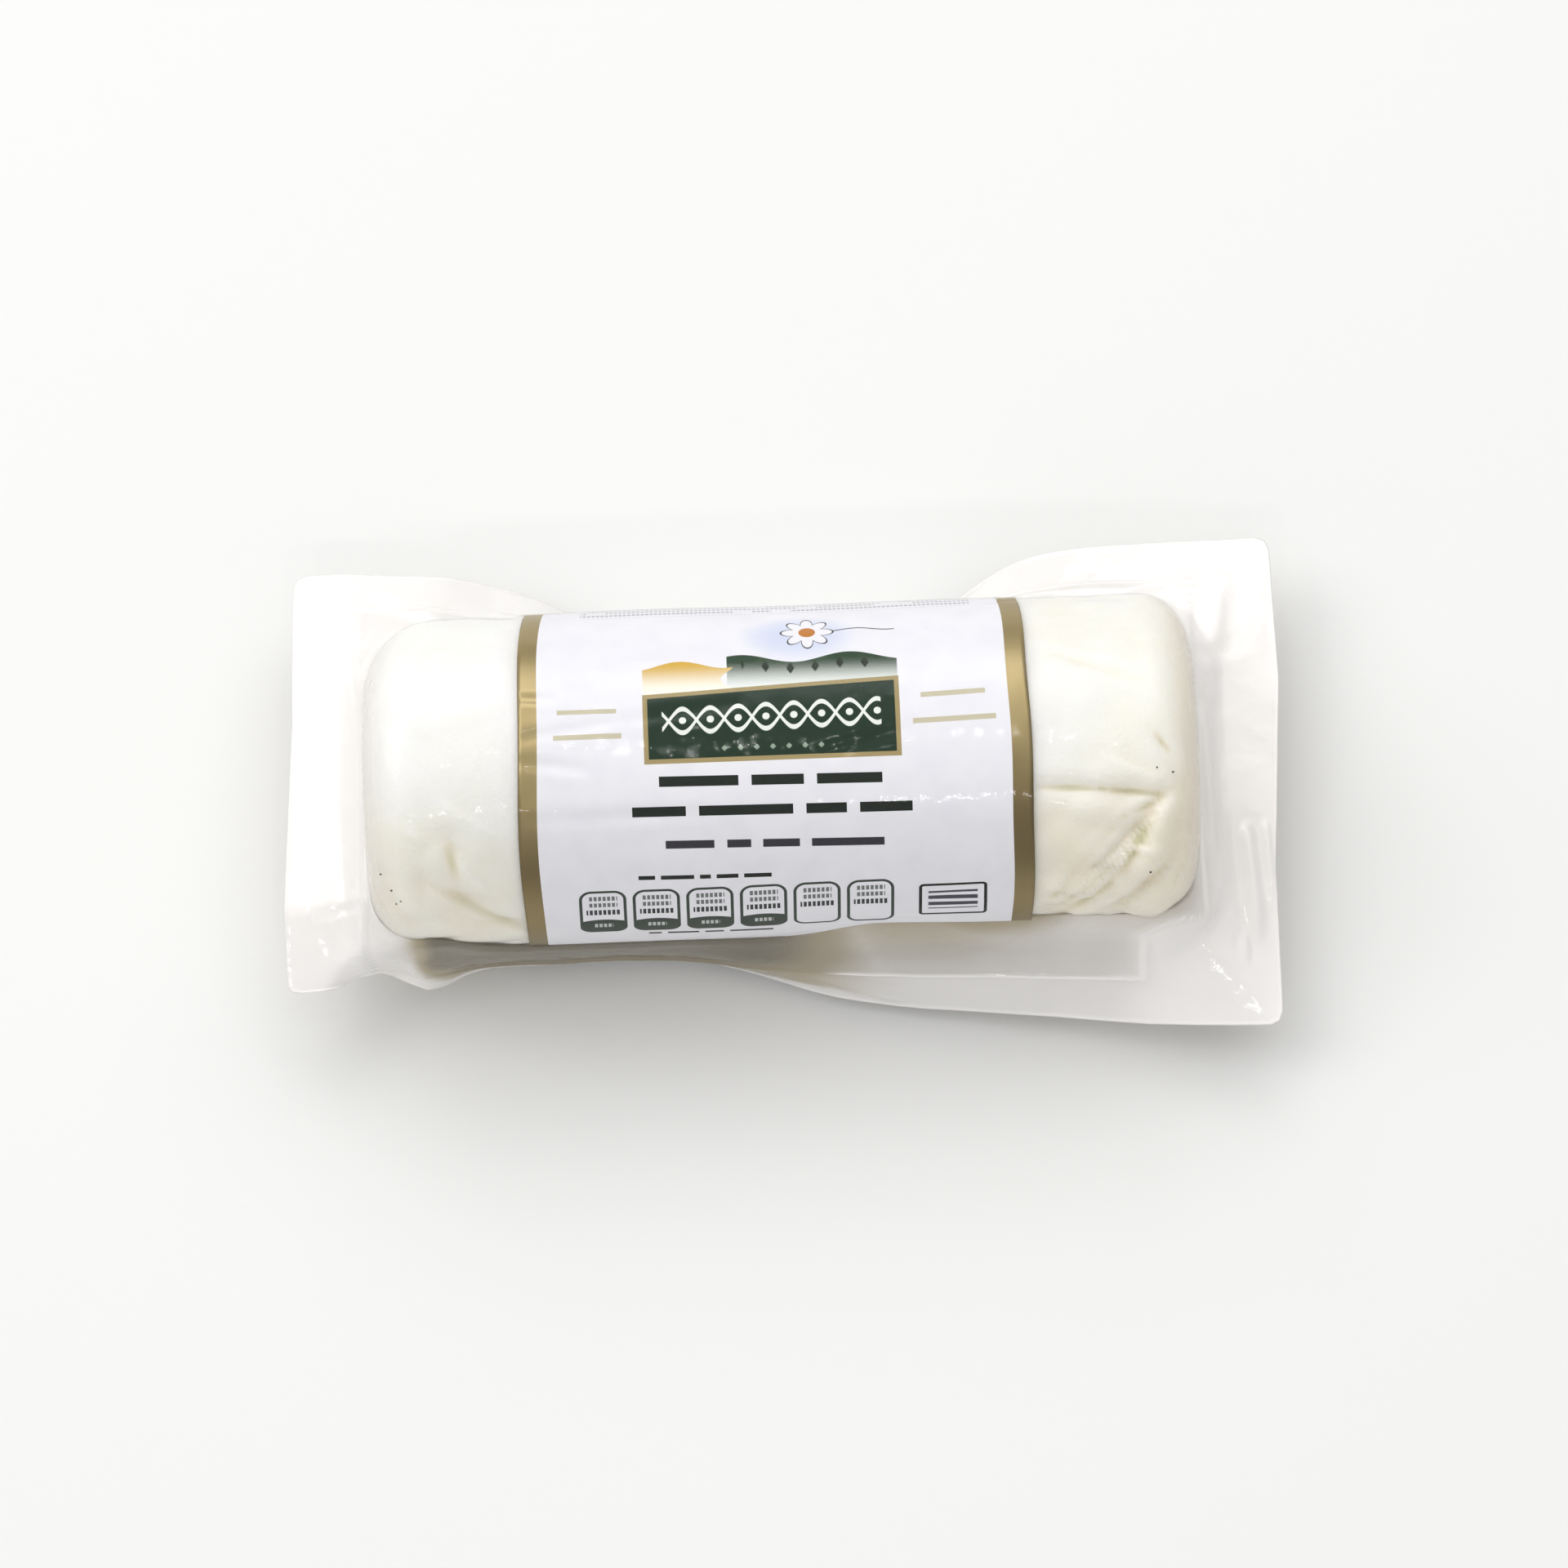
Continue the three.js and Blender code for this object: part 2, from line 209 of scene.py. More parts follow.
# Ends as before, then height, width of the steep side and of the gentle side, which lies to the right
# of the way from the first end to the second
PLEATS = [
    ((53.5, 32.0), (36.0, 78.0), 1.0, 0.5, 3.0),
    ((51.5, 37.0), (47.0, 62.0), 0.8, 0.5, 2.2),
    ((49.5, 45.0), (38.5, 79.0), 1.1, 0.5, 3.4),
    ((54.5, 54.0), (45.5, 84.0), 1.1, 0.6, 2.8),
    ((57.0, 44.0), (53.0, 78.0), 0.7, 0.6, 2.4),
    ((52.0, 28.0), (43.5, 18.0), 0.35, 0.6, 2.6),
    ((36.0, 94.0), (52.0, 84.0), 0.25, 0.6, 2.6),
    ((-36.0, 86.0), (-49.0, 58.0), 0.7, 0.5, 3.2),
    ((-40.0, 62.0), (-46.5, 40.0), 0.4, 0.5, 3.0),
    ((-50.0, 44.0), (-53.5, 30.0), 0.25, 0.6, 2.4),
    ((-38.5, 40.0), (-47.0, 26.0), 0.25, 0.8, 3.2),
]
FINE_CREASES = [
    ((35.0, 29.0), (43.5, 30.0), 0.22, 0.5),
    ((43.5, 30.0), (52.0, 33.0), 0.22, 0.5),
    ((51.5, 34.5), (46.5, 40.0), 0.25, 0.5),
    ((46.5, 40.0), (41.0, 55.5), 0.25, 0.55),
    ((41.0, 55.5), (35.5, 79.0), 0.25, 0.7),
    ((47.5, 51.0), (52.0, 52.0), -0.35, 0.5),
    ((49.0, 46.0), (46.0, 60.0), 0.2, 0.5),
    ((44.5, 66.0), (38.0, 88.0), 0.2, 0.7),
    ((51.2, 11.5), (53.2, 18.0), 0.2, 0.5),
    ((-45.9, 43.0), (-45.1, 54.0), 0.22, 0.9),
    ((-51.2, 35.0), (-49.5, 40.0), -0.3, 0.6),
    ((-46.0, 61.0), (-36.5, 84.0), 0.08, 0.7),
    ((-58.0, 60.0), (-54.5, 80.0), 0.2, 0.5),
    ((-52.0, 18.0), (-45.0, 44.0), 0.07, 1.2),
    ((-55.0, -8.0), (-44.0, 12.0), 0.07, 1.2),
    ((36.5, -22.0), (50.0, -8.0), 0.15, 1.0),
]


def crease_relief(creases, x, across, unit=DEGREES * LOG_RADIUS):
    """Each crease: -depth * exp(-(distance / width)^2), and a low lip beside it.
    The second number of each end, times unit, is its place across in millimetres."""
    relief = np.zeros(np.broadcast(x, across).shape)
    for (x0, a0), (x1, a1), depth, width in creases:
        start = np.array([x0, a0 * unit])
        run = np.array([x1, a1 * unit]) - start
        along = np.clip(((x - start[0]) * run[0] + (across - start[1]) * run[1]) / (run @ run), 0, 1)
        spread = np.hypot(x - start[0] - along * run[0], across - start[1] - along * run[1]) / width
        deep = depth * (END_DEPTH_SHARE + (1 - END_DEPTH_SHARE) * np.sin(math.pi * along))
        relief += deep * (LIP_SHARE * np.exp(-((spread - LIP_DISTANCE) ** 2)) - np.exp(-spread * spread))
    return relief


def pleat_relief(pleats, x, across, unit=DEGREES * LOG_RADIUS):
    """Each pleat: height * (eased rise over the steep side) * exp(-distance / gentle side), and
    sqrt(sin(pi t)) along it. It reads as two flat facets that meet in a line."""
    relief = np.zeros(np.broadcast(x, across).shape)
    for (x0, a0), (x1, a1), height, steep, gentle in pleats:
        start = np.array([x0, a0 * unit])
        run = np.array([x1, a1 * unit]) - start
        length = np.hypot(*run)
        along = ((x - start[0]) * run[0] + (across - start[1]) * run[1]) / length**2
        past = ((x - start[0]) * run[1] - (across - start[1]) * run[0]) / length
        window = np.sqrt(np.sin(math.pi * np.clip(along, 0, 1)))
        relief += height * window * ease(-steep, 0.0, past) * np.exp(-np.maximum(past, 0) / gentle)
    return relief


def swell(x, angle):
    """The soft log's slow swells: 0.16 sin(0.11 x + 2 angle) + 0.12 sin(0.19 x - 3 angle + 1)."""
    return 0.16 * np.sin(0.11 * x + 2 * angle) + 0.12 * np.sin(0.19 * x - 3 * angle + 1)


# %% The skin as a grid
AROUND = 300
ALONG_STEP = 0.55
EDGE_STEPS = 14
DISC_STEPS = 9


def end_rounding(side, angle):
    """The right end's edge is even. The left end's grows towards the back, where the film is slack."""
    slack = np.where(side < 0, 0.5 - 0.5 * np.sin(angle), 0.0)
    return END_EDGE + (SLACK_EDGE - END_EDGE) * slack**3


def log_profile():
    """x, radius and the outward direction (along x, along the radius) of every point of the grid."""
    angle = np.linspace(-math.pi, math.pi, AROUND, endpoint=False)[None, :]
    disc = np.linspace(0, 1, DISC_STEPS + 1)[1:-1, None]
    turn = np.linspace(math.pi / 2, 0, EDGE_STEPS + 1)[:, None]
    parts = []
    for side in (-1, 1):
        edge = end_rounding(side, angle)
        end = side * LOG_LENGTH / 2
        flat = np.ones_like(disc * edge)
        rounded = side * (LOG_LENGTH / 2 - edge + edge * np.sin(turn))
        parts.append([
            np.vstack([end * flat, rounded]),
            np.vstack([disc * (LOG_RADIUS - edge), LOG_RADIUS - edge + edge * np.cos(turn)]),
            np.vstack([side * flat, side * np.sin(turn) + 0 * edge]),
            np.vstack([0 * flat, np.cos(turn) + 0 * edge]),
        ])
    left, right = parts
    left_start, right_start = left[0][-1], right[0][-1]
    count = int(LOG_LENGTH / ALONG_STEP) - 2 * EDGE_STEPS
    share = np.linspace(0, 1, count + 1)[1:-1, None]
    side_x = left_start + share * (right_start - left_start)
    middle = [side_x, 0 * side_x + LOG_RADIUS, 0 * side_x, 0 * side_x + 1]
    x, radius, out_x, out_r = (np.vstack([l, m, r[::-1]]) for l, m, r in zip(left, middle, right))
    return angle, x, radius, out_x, out_r


def outside_band(x, angle):
    """Distance past the band's nearer edge, below 0 on the band. The edges bow in at the back."""
    bowed = 1 - np.cos(angle - BAND_WIDEST)
    (left, left_bow), (right, right_bow) = BAND_EDGES["left"], BAND_EDGES["right"]
    return np.maximum(left + left_bow * bowed - x, x - right + right_bow * bowed)


def placed(angle, x, radius, floor):
    """Points from cylinder places, with a flat where the log rests: z never goes below the floor."""
    y = -radius * np.sin(angle)
    z = np.maximum(floor, AXIS_HEIGHT + radius * np.cos(angle))
    return np.stack([x + LOG_MIDDLE, y + 0 * x, z + 0 * x], axis=-1)


ANGLE, X, RADIUS, OUT_X, OUT_R = log_profile()
ROUND_POINTS = placed(ANGLE, X, RADIUS, -LOG_RADIUS)
ARC = ANGLE * LOG_RADIUS
OUTSIDE = outside_band(X, ANGLE)

DEEP = crease_relief(DEEP_CREASES, X, ARC) * OUT_R
FINE = crease_relief(FINE_CREASES, X, ARC) * OUT_R
PLEATED = pleat_relief(PLEATS, X, ARC) * OUT_R
# Calm above, crumpled low down on the shown side, and most of all at the right
LOW_SHARE = ease(10 * DEGREES, 60 * DEGREES, ANGLE)
ROUGH_SHARE = (0.6 + 0.9 * LOW_SHARE + 0.5 * ease(30, 42, X) * LOW_SHARE) * OUT_R**2
CRUMPLED = ROUGH_SHARE * (1.6 * crumple(ROUND_POINTS, 5, 8, 17, 4) + 1.1 * crumple(ROUND_POINTS, 77, 4, 8))
BARE = swell(X, ANGLE) * OUT_R + DEEP + FINE + PLEATED + CRUMPLED
BARE = np.where(BARE > 0, BARE * ease(0, 3, OUTSIDE), BARE)
print(f"skin grid {X.shape}, relief from {BARE.min():.2f} to {BARE.max():.2f} mm")

# %% [markdown]
# ## The paper band's own unevenness
# The band is drawn tight by the vacuum, so it shows long soft facets along the log rather than
# crumples. One fold runs the whole way along the shown side, a little above its middle, where the
# upper face that mirrors the sky meets the lower face that mirrors the room.

# %% Relief of the band
FACET_RIDGES = [(30, 15, 0.3), (-28, 22, 0.25), (78, 20, 0.2), (-95, 26, 0.2), (140, 24, 0.15)]
BAND_CREASES = [
    ((-35.5, 6.0), (-24.0, 1.5), 0.22, 0.8),
    ((-24.0, 1.5), (-6.0, -4.0), 0.18, 0.9),
    ((-35.5, 14.0), (-27.0, 17.0), 0.2, 0.8),
    ((-35.8, -9.0), (-31.0, -8.0), 0.22, 0.6),
    ((6.0, 14.0), (17.0, 7.0), 0.2, 0.9),
    ((16.0, 72.0), (33.0, 66.0), 0.15, 1.2),
    ((-34.0, 34.0), (-10.0, 33.0), 0.12, 0.9),
    ((33.8, -57.0), (28.0, -54.0), 0.2, 0.6),
]


def facets(x, angle):
    """A sum of rounded ridges, each highest along a line of constant angle that wanders a little."""
    height = np.zeros(np.broadcast(x, angle).shape)
    for ridge, (centre, half_width, tall) in enumerate(FACET_RIDGES):
        wander = 2.5 * np.sin(0.07 * x + 2 * ridge)
        away = np.abs(angle / DEGREES - centre - wander) / half_width
        height += tall * np.exp(-np.sqrt(away * away + 0.01)) * np.ones_like(x)
    return height - 0.15


def band_relief(x, angle):
    """Facets, creases and a trace of swell."""
    return facets(x, angle) + crease_relief(BAND_CREASES, x, angle * LOG_RADIUS) + 0.4 * swell(x, angle)


ON_BAND = band_relief(X, ANGLE)
print(f"band relief from {ON_BAND.min():.2f} to {ON_BAND.max():.2f} mm")

# %% [markdown]
# ## Shader maths as plain expressions
# A material is a tree of nodes. Written out node by node it is long and hard to read, so one small
# class wraps a node's output and turns `a + b` or `1 - mask` into Math nodes. Any other node comes
# from the method `add`.


# %% The socket class
class Value:
    """One output of a node, on which + - * / ** > < and abs work."""

    def __init__(self, tree, socket):
        self.tree, self.socket = tree, socket

    def math(self, operation, *others):
        """A Math node of that operation on this value and the others."""
        return self.tree.add("Math", {"operation": operation}, dict(enumerate([self, *others])))

    def flipped(self, operation, other):
        """The same with the other value first."""
        return self.tree.add("Math", {"operation": operation}, {0: other, 1: self})

    def __add__(self, other):
        return self.math("ADD", other)

    def __radd__(self, other):
        return self.math("ADD", other)

    def __sub__(self, other):
        return self.math("SUBTRACT", other)

    def __rsub__(self, other):
        return self.flipped("SUBTRACT", other)

    def __mul__(self, other):
        return self.math("MULTIPLY", other)

    def __rmul__(self, other):
        return self.math("MULTIPLY", other)

    def __truediv__(self, other):
        return self.math("DIVIDE", other)

    def __pow__(self, other):
        return self.math("POWER", other)

    def __gt__(self, other):
        return self.math("GREATER_THAN", other)

    def __lt__(self, other):
        return self.math("LESS_THAN", other)

    def __abs__(self):
        return self.math("ABSOLUTE")

    def between(self, low, high):
        """1 from low to high, else 0."""
        return (self > low) * (self < high)

    def or_else(self, other):
        """The larger of two masks."""
        return self.math("MAXIMUM", other)

    def eased(self, low, high):
        """0 below low, 1 above high, smooth between."""
        settings = {"interpolation_type": "SMOOTHSTEP"}
        return self.tree.add("MapRange", settings, {"Value": self, "From Min": low, "From Max": high})


class Finish:
    """A material whose nodes are added one expression at a time."""

    def __init__(self, name):
        self.material = bpy.data.materials.new(name)
        self.material.use_nodes = True
        self.tree = self.material.node_tree
        self.tree.nodes.clear()

    def add(self, kind, settings=None, inputs=None, output=0):
        """Makes a node, sets its settings, then its sockets from values or links."""
        node = self.tree.nodes.new("ShaderNode" + kind)
        for name, setting in (settings or {}).items():
            if name == "stops":
                self.set_stops(node.color_ramp, setting)
            else:
                setattr(node, name, setting)
        for name, value in (inputs or {}).items():
            if isinstance(value, Value):
                self.tree.links.new(value.socket, node.inputs[name])
            else:
                node.inputs[name].default_value = value
        return Value(self, node.outputs[output])

    @staticmethod
    def set_stops(ramp, stops):
        """Stops as (place, colour)."""
        while len(ramp.elements) < len(stops):
            ramp.elements.new(1.0)
        for element, (place, colour) in zip(ramp.elements, stops):
            element.position = place
            element.color = (*colour, 1)

    def blend(self, factor, first, second):
        """A colour from first, where the factor is 0, to second, where it is 1."""
        inputs = {"Factor": factor, 6: first, 7: second}
        return self.add("Mix", {"data_type": "RGBA"}, inputs, output=2)

    def noise(self, scale, detail=2.0, place=None, roughness=0.5):
        """Smooth noise about 0.5, on Object coordinates unless a place is given."""
        place = place or self.add("TexCoord", output=3)
        inputs = {"Vector": place, "Scale": scale, "Detail": detail, "Roughness": roughness}
        return self.add("TexNoise", {}, inputs)

    def stored(self, name):
        """A number kept on the mesh by store."""
        return self.add("Attribute", {"attribute_name": name}, output=2)

    def bump(self, height, distance, strength=1.0):
        """A normal tilted as if the surface had this height, times distance, in metres."""
        return self.add("Bump", {}, {"Height": height, "Distance": distance, "Strength": strength})

    def finish(self, shader):
        """Joins the shader to the material's output and gives the material."""
        output = self.tree.nodes.new("ShaderNodeOutputMaterial")
        self.tree.links.new(shader.socket, output.inputs["Surface"])
        print(f"{self.material.name}: {len(self.tree.nodes)} nodes")
        return self.material


def rgb(red, green, blue):
    """A screen colour from 0 to 255 as the linear colour that shaders use: ((c + 0.055) / 1.055)^2.4."""
    parts = np.array([red, green, blue]) / 255
    linear = np.where(parts <= 0.04045, parts / 12.92, ((parts + 0.055) / 1.055) ** 2.4)
    return (*(float(c) for c in linear), 1.0)


# %% [markdown]
# ## The cheese
# Fresh goat cheese is soft, matt and very pale: almost white, with random cream clouds and a little
# more cream towards the right. Painted shade makes it cream low on the shown side and on the right
# end's rounding, and a little olive in the creases. Light also goes some way into it, so the shader
# scatters a share of it below the surface.


# %% Cheese finish
def cheese_finish():
    """Cream clouds and painted shade over white, olive painted shade by the depth of the crease, and a fine curd
    grain.
    """
    cheese = Finish("fresh_cheese")
    clouds = cheese.noise(95, 3) - 0.5
    warm = cheese.stored("warm") + 0.7 * clouds
    # Painted shade: cream low on the shown side and on the right end's rounding, from the stored share
    body = cheese.blend(warm.eased(0.0, 1.0), rgb(252, 249, 244), rgb(249, 237, 218))
    painted_crease_share = cheese.stored("valley").eased(0.05, 1.0)
    # Painted shade: olive in the creases and crumple valleys, and on the right end's rounding
    colour = cheese.blend(painted_crease_share * 0.75, body, rgb(206, 204, 158))
    grain = cheese.noise(1500, 2) + 0.6 * cheese.noise(420, 2)
    return cheese.finish(cheese.add("BsdfPrincipled", {}, {
        "Base Color": colour,
        "Roughness": 0.55,
        "Subsurface Weight": 0.8,
        "Subsurface Radius": (1.0, 1.0, 0.9),
        "Subsurface Scale": 0.003,
        "Normal": cheese.bump(grain, 0.00025, 0.5),
    }))


# %% Cheese piece
UNDER_FILM = 0.15
UNDER_BAND = 0.45
END_SLACK = 0.1
ROUNDER_EDGE = 0.15


def closed_skin(height, floor):
    """Points and faces of the log's grid at a height above its own surface, closed at both ends."""
    x, radius = X + OUT_X * height, RADIUS + OUT_R * height
    grid = placed(ANGLE, x, radius, floor).transpose(1, 0, 2)
    rows, columns = grid.shape[:2]
    ends = np.array([grid[:, 0].mean(axis=0), grid[:, -1].mean(axis=0)])
    here = np.arange(rows) * columns
    ahead = np.roll(here, -1)
    left_pole, right_pole = rows * columns, rows * columns + 1
    faces = grid_faces(rows, columns, wrap=True).tolist()
    faces += np.stack([np.full(rows, left_pole), ahead, here], axis=-1).tolist()
    last = columns - 1
    faces += np.stack([np.full(rows, right_pole), here + last, ahead + last], axis=-1).tolist()
    return np.vstack([grid.reshape(-1, 3), ends]), faces


def on_skin(values):
    """Numbers kept in the order of closed_skin's points, with one more for each pole."""
    return np.append(np.broadcast_to(values, X.shape).T.ravel(), [values.flat[0], values.flat[-1]])


squeezed = ease(0, 1.2, -OUTSIDE)
# The right end stands a little back from the film, and its edge is rounder
stood_back = np.maximum(OUT_X, 0) * (END_SLACK + ROUNDER_EDGE * 4 * OUT_X * OUT_R**2)
cheese_height = (BARE - UNDER_FILM - stood_back) * (1 - squeezed) + (ON_BAND - UNDER_BAND) * squeezed
cheese = build_piece("cheese", *closed_skin(cheese_height, UNDER_FILM), "cheese", cheese_finish())
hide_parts("cheese_log")
# Painted shade: olive is painted on the right end's rounding and, by their depth, in the creases and crumple valleys
painted_end_shade = 0.2 * ease(0.35, 0.9, OUT_X)
store(cheese, "valley", on_skin(np.clip(-DEEP / 1.5 - FINE / 0.45 - 0.5 * CRUMPLED + painted_end_shade, 0, 1)))
# Cream share: a little everywhere and more towards the right, plus painted shade low on the shown side and on the
# right end's rounding
store(cheese, "warm", on_skin(0.15 + 0.4 * LOW_SHARE + 0.3 * ease(20, 55, X) + 0.3 * ease(0.3, 0.9, OUT_X)))

# %% [markdown]
# ## The paper band
# The band is printed paper. Its print is a layout of plain fields: bars in the place of words, a
# green field in a gold frame, a wavy ornament, and a row of rounded boxes. A printed sheet is flat
# before it is wrapped, so the print is worked out on the band's own flat coordinates, which a UV map
# carries: millimetres along the log, and millimetres round it from the top.

# %% Places on the print, in millimetres along the log and round it
PANEL = {"left": -18.7, "right": 16.4, "top": -3.5, "bottom": 6.5, "tilt": -0.048}
PANEL_FRAME = 0.65
ORNAMENT_MIDDLE = 0.6
BOX_LEFTS = {"first": -28.4, "pitch": 7.36, "count": 6}
BOX_HALF = (3.25, 4.9)
BOX_MIDDLE = 30.1
BOX_CORNER = 1.7
BOX_LINE = 0.42
MARK_MIDDLE = (23.0, 29.5)
MARK_HALF = (4.7, 3.6)
GOLD_EDGE = {"left": 2.6, "right": 2.8}

INK = rgb(24, 32, 24)
GREY_INK = rgb(52, 50, 58)
LEAF_GREEN = rgb(20, 46, 29)
GOLD = rgb(172, 154, 110)
PAPER_WHITE = rgb(241, 240, 245)


class Print:
    """The flat coordinates of the band's print, and the marks that are drawn on them."""

    def __init__(self, paper):
        flat = paper.add("UVMap", {"uv_map": "print"})
        self.paper = paper
        self.x = paper.add("SeparateXYZ", {}, {"Vector": flat}, output=0)
        self.y = paper.add("SeparateXYZ", {}, {"Vector": flat}, output=1)

    def rounded(self, x, y, half, corner):
        """Distance outside a box with rounded corners: length(max(abs(p) - half + corner, 0)) - corner."""
        reach_x = (abs(x) - (half[0] - corner)).math("MAXIMUM", 0.0)
        reach_y = (abs(y) - (half[1] - corner)).math("MAXIMUM", 0.0)
        return (reach_x * reach_x + reach_y * reach_y).math("SQRT") - corner

    def words(self, start, letters, pitch, middle, height, tilt=0.0, weight=0.3):
        """A row of plain bars, one for each word. letters lists their widths in steps of the pitch,
        and each bar reaches the weight, times the row's height, above and below its middle."""
        x, y = self.x, self.y
        total = sum(letters) + len(letters) - 1
        stops, at = [], 0
        for count in letters:
            stops += [(at / total, (1, 1, 1)), ((at + count) / total, (0, 0, 0))]
            at += count + 1
        along = (x - start) * (1 / (total * pitch))
        ramp = self.paper.add("ValToRGB", {"stops": stops}, {"Fac": along})
        ramp.socket.node.color_ramp.interpolation = "CONSTANT"
        high = (y - tilt * x - (middle - height / 2)) * (1 / height)
        return ramp * (abs(high - 0.5) < weight) * along.between(0.0, 1.0)

    def small_print(self, seed, line_pitch, letter_pitch, low, high, left, right, share=0.45):
        """Many lines of small bars, with gaps where a random number for each word is low."""
        line = (self.y * (1 / line_pitch)).math("FLOOR")
        row = (self.y * (1 / line_pitch)).math("FRACT") < share
        word = (self.x * (1 / (4.3 * letter_pitch)) + line * 0.37).math("FLOOR") + line * 31.7 + seed
        chance = self.paper.add("TexWhiteNoise", {"noise_dimensions": "1D"}, {"W": word})
        letter = (self.x * (1 / letter_pitch)).math("FRACT") < 0.7
        field = self.x.between(left, right) * self.y.between(low, high)
        return row * (chance > 0.16) * letter * field


# %% Layers of the print
def print_panel(p, colour):
    """A green field in a gold frame, with a white twisted ornament and a row of pale dots."""
    paper = p.paper
    middle_x = (PANEL["left"] + PANEL["right"]) / 2
    half_x = (PANEL["right"] - PANEL["left"]) / 2
    raised = PANEL["tilt"] * (p.x - PANEL["left"])
    top = raised + PANEL["top"]
    inside_x = abs(p.x - middle_x)
    frame_field = (inside_x < half_x) * (p.y > top) * (p.y < PANEL["bottom"])
    field = (inside_x < half_x - PANEL_FRAME) * (p.y > top + PANEL_FRAME)
    field = field * (p.y < PANEL["bottom"] - PANEL_FRAME)
    colour = paper.blend(frame_field, colour, rgb(168, 150, 104))
    colour = paper.blend(field, colour, LEAF_GREEN)
    y = p.y - ORNAMENT_MIDDLE - 0.35 * raised
    wave = (p.x * (2 * math.pi / 7.6)).math("SINE") * 1.75
    strand = (abs(y - wave) < 0.34).or_else(abs(y + wave) < 0.34)
    spot_x = ((p.x * (1 / 3.8)).math("FRACT") - 0.5) * 3.8
    spot = (spot_x * spot_x + y * y).math("SQRT") < 0.5
    colour = paper.blend(strand.or_else(spot) * (abs(p.x - middle_x) < half_x - 2.6), colour, rgb(236, 240, 234))
    dot_x = ((p.x * (1 / 2.2)).math("FRACT") - 0.5) * 2.2
    dot = abs(dot_x) + abs(p.y - 4.6) < 0.42
    return paper.blend(dot * (abs(p.x - middle_x) < 8.0), colour, rgb(150, 168, 150))


def print_landscape(p, colour):
    """Above the panel: a blue wash, a green wave that fades down to white, and a yellow wave."""
    paper = p.paper
    wash_x, wash_y = (p.x - 3.0) * 0.11, (p.y + 13.5) * 0.17
    wash = wash_x * wash_x + wash_y * wash_y
    colour = paper.blend((1 - wash.eased(0.0, 1.0)) * 0.75, colour, rgb(205, 214, 240))
    field = p.x.between(PANEL["left"] + 0.1, PANEL["right"] - 0.1) * (p.y < PANEL["top"] + 0.4)
    wave = (p.x * 0.42 + 0.6).math("SINE") * 0.8
    green = field * (p.x > -7.0) * (p.y > wave - 8.9)
    fade = (p.y + 8.6).eased(0.0, 4.8)
    colour = paper.blend(green, colour, paper.blend(fade, rgb(52, 74, 54), rgb(236, 240, 236)))
    swell_y = (p.x * 0.5 - 1.1).math("SINE") * 0.7
    yellow = field * (p.x < -7.0 + 0.9 * (p.y * 1.4).math("SINE")) * (p.y > swell_y - 8.2)
    colour = paper.blend(yellow, colour, paper.blend(fade, rgb(214, 172, 66), rgb(250, 246, 232)))
    grain_x = ((p.x * (1 / 3.4)).math("FRACT") - 0.5) * 3.4
    lozenge = abs(grain_x) * 1.7 + abs(p.y + 7.4 - 0.5 * wave) < 0.95
    return paper.blend(lozenge * p.x.between(-5.0, 14.6), colour, rgb(34, 46, 34))


def print_emblem(p, colour):
    """A plain flower with white petals, and a thin wavy stem beside it."""
    paper = p.paper
    x, y = p.x - 4.2, p.y + 14.2
    away = (x * x + y * y).math("SQRT")
    petal = abs((y.math("ARCTAN2", x) * 4.0).math("COSINE"))
    rim = away - (2.1 + 1.5 * petal)
    stem = abs(y - 0.35 * (x * 0.7).math("SINE") + 0.4) < 0.11
    colour = paper.blend(stem * x.between(3.0, 12.0), colour, rgb(70, 66, 64))
    colour = paper.blend(rim < 0, colour, PAPER_WHITE)
    colour = paper.blend(abs(rim) < 0.13, colour, rgb(70, 66, 64))
    return paper.blend(away < 1.15, colour, rgb(196, 128, 60))


def print_words(p, colour):
    """Bars in the places of the words, from the large dark rows to the small pale ones."""
    paper = p.paper
    large = p.words(-16.8, (6, 4, 5), 1.79, 9.15, 2.35, 0.014)
    large = large.or_else(p.words(-20.6, (4, 7, 3, 4), 1.82, 13.2, 2.35, 0.01))
    colour = paper.blend(large, colour, INK)
    weight = p.words(-16.2, (4, 2, 3, 6), 1.66, 18.1, 2.5, 0.018, weight=0.24)
    colour = paper.blend(weight, colour, GREY_INK)
    small = p.words(-20.1, (3, 6, 2, 4, 5), 0.76, 23.2, 1.15, 0.01)
    small = small.or_else(p.words(-19.0, (2, 5, 3, 7), 0.86, 36.0, 1.0))
    colour = paper.blend(small, colour, INK)
    pale = p.words(19.3, (6,), 1.47, -1.25, 1.9, -0.04, weight=0.2)
    pale = pale.or_else(p.words(18.1, (8,), 1.42, 2.3, 1.9, -0.03, weight=0.2))
    pale = pale.or_else(p.words(-31.0, (7,), 1.33, 2.4, 1.9, weight=0.2))
    pale = pale.or_else(p.words(-30.4, (6,), 1.35, -1.2, 1.7, weight=0.2))
    return paper.blend(pale * 0.85, colour, rgb(196, 187, 152))


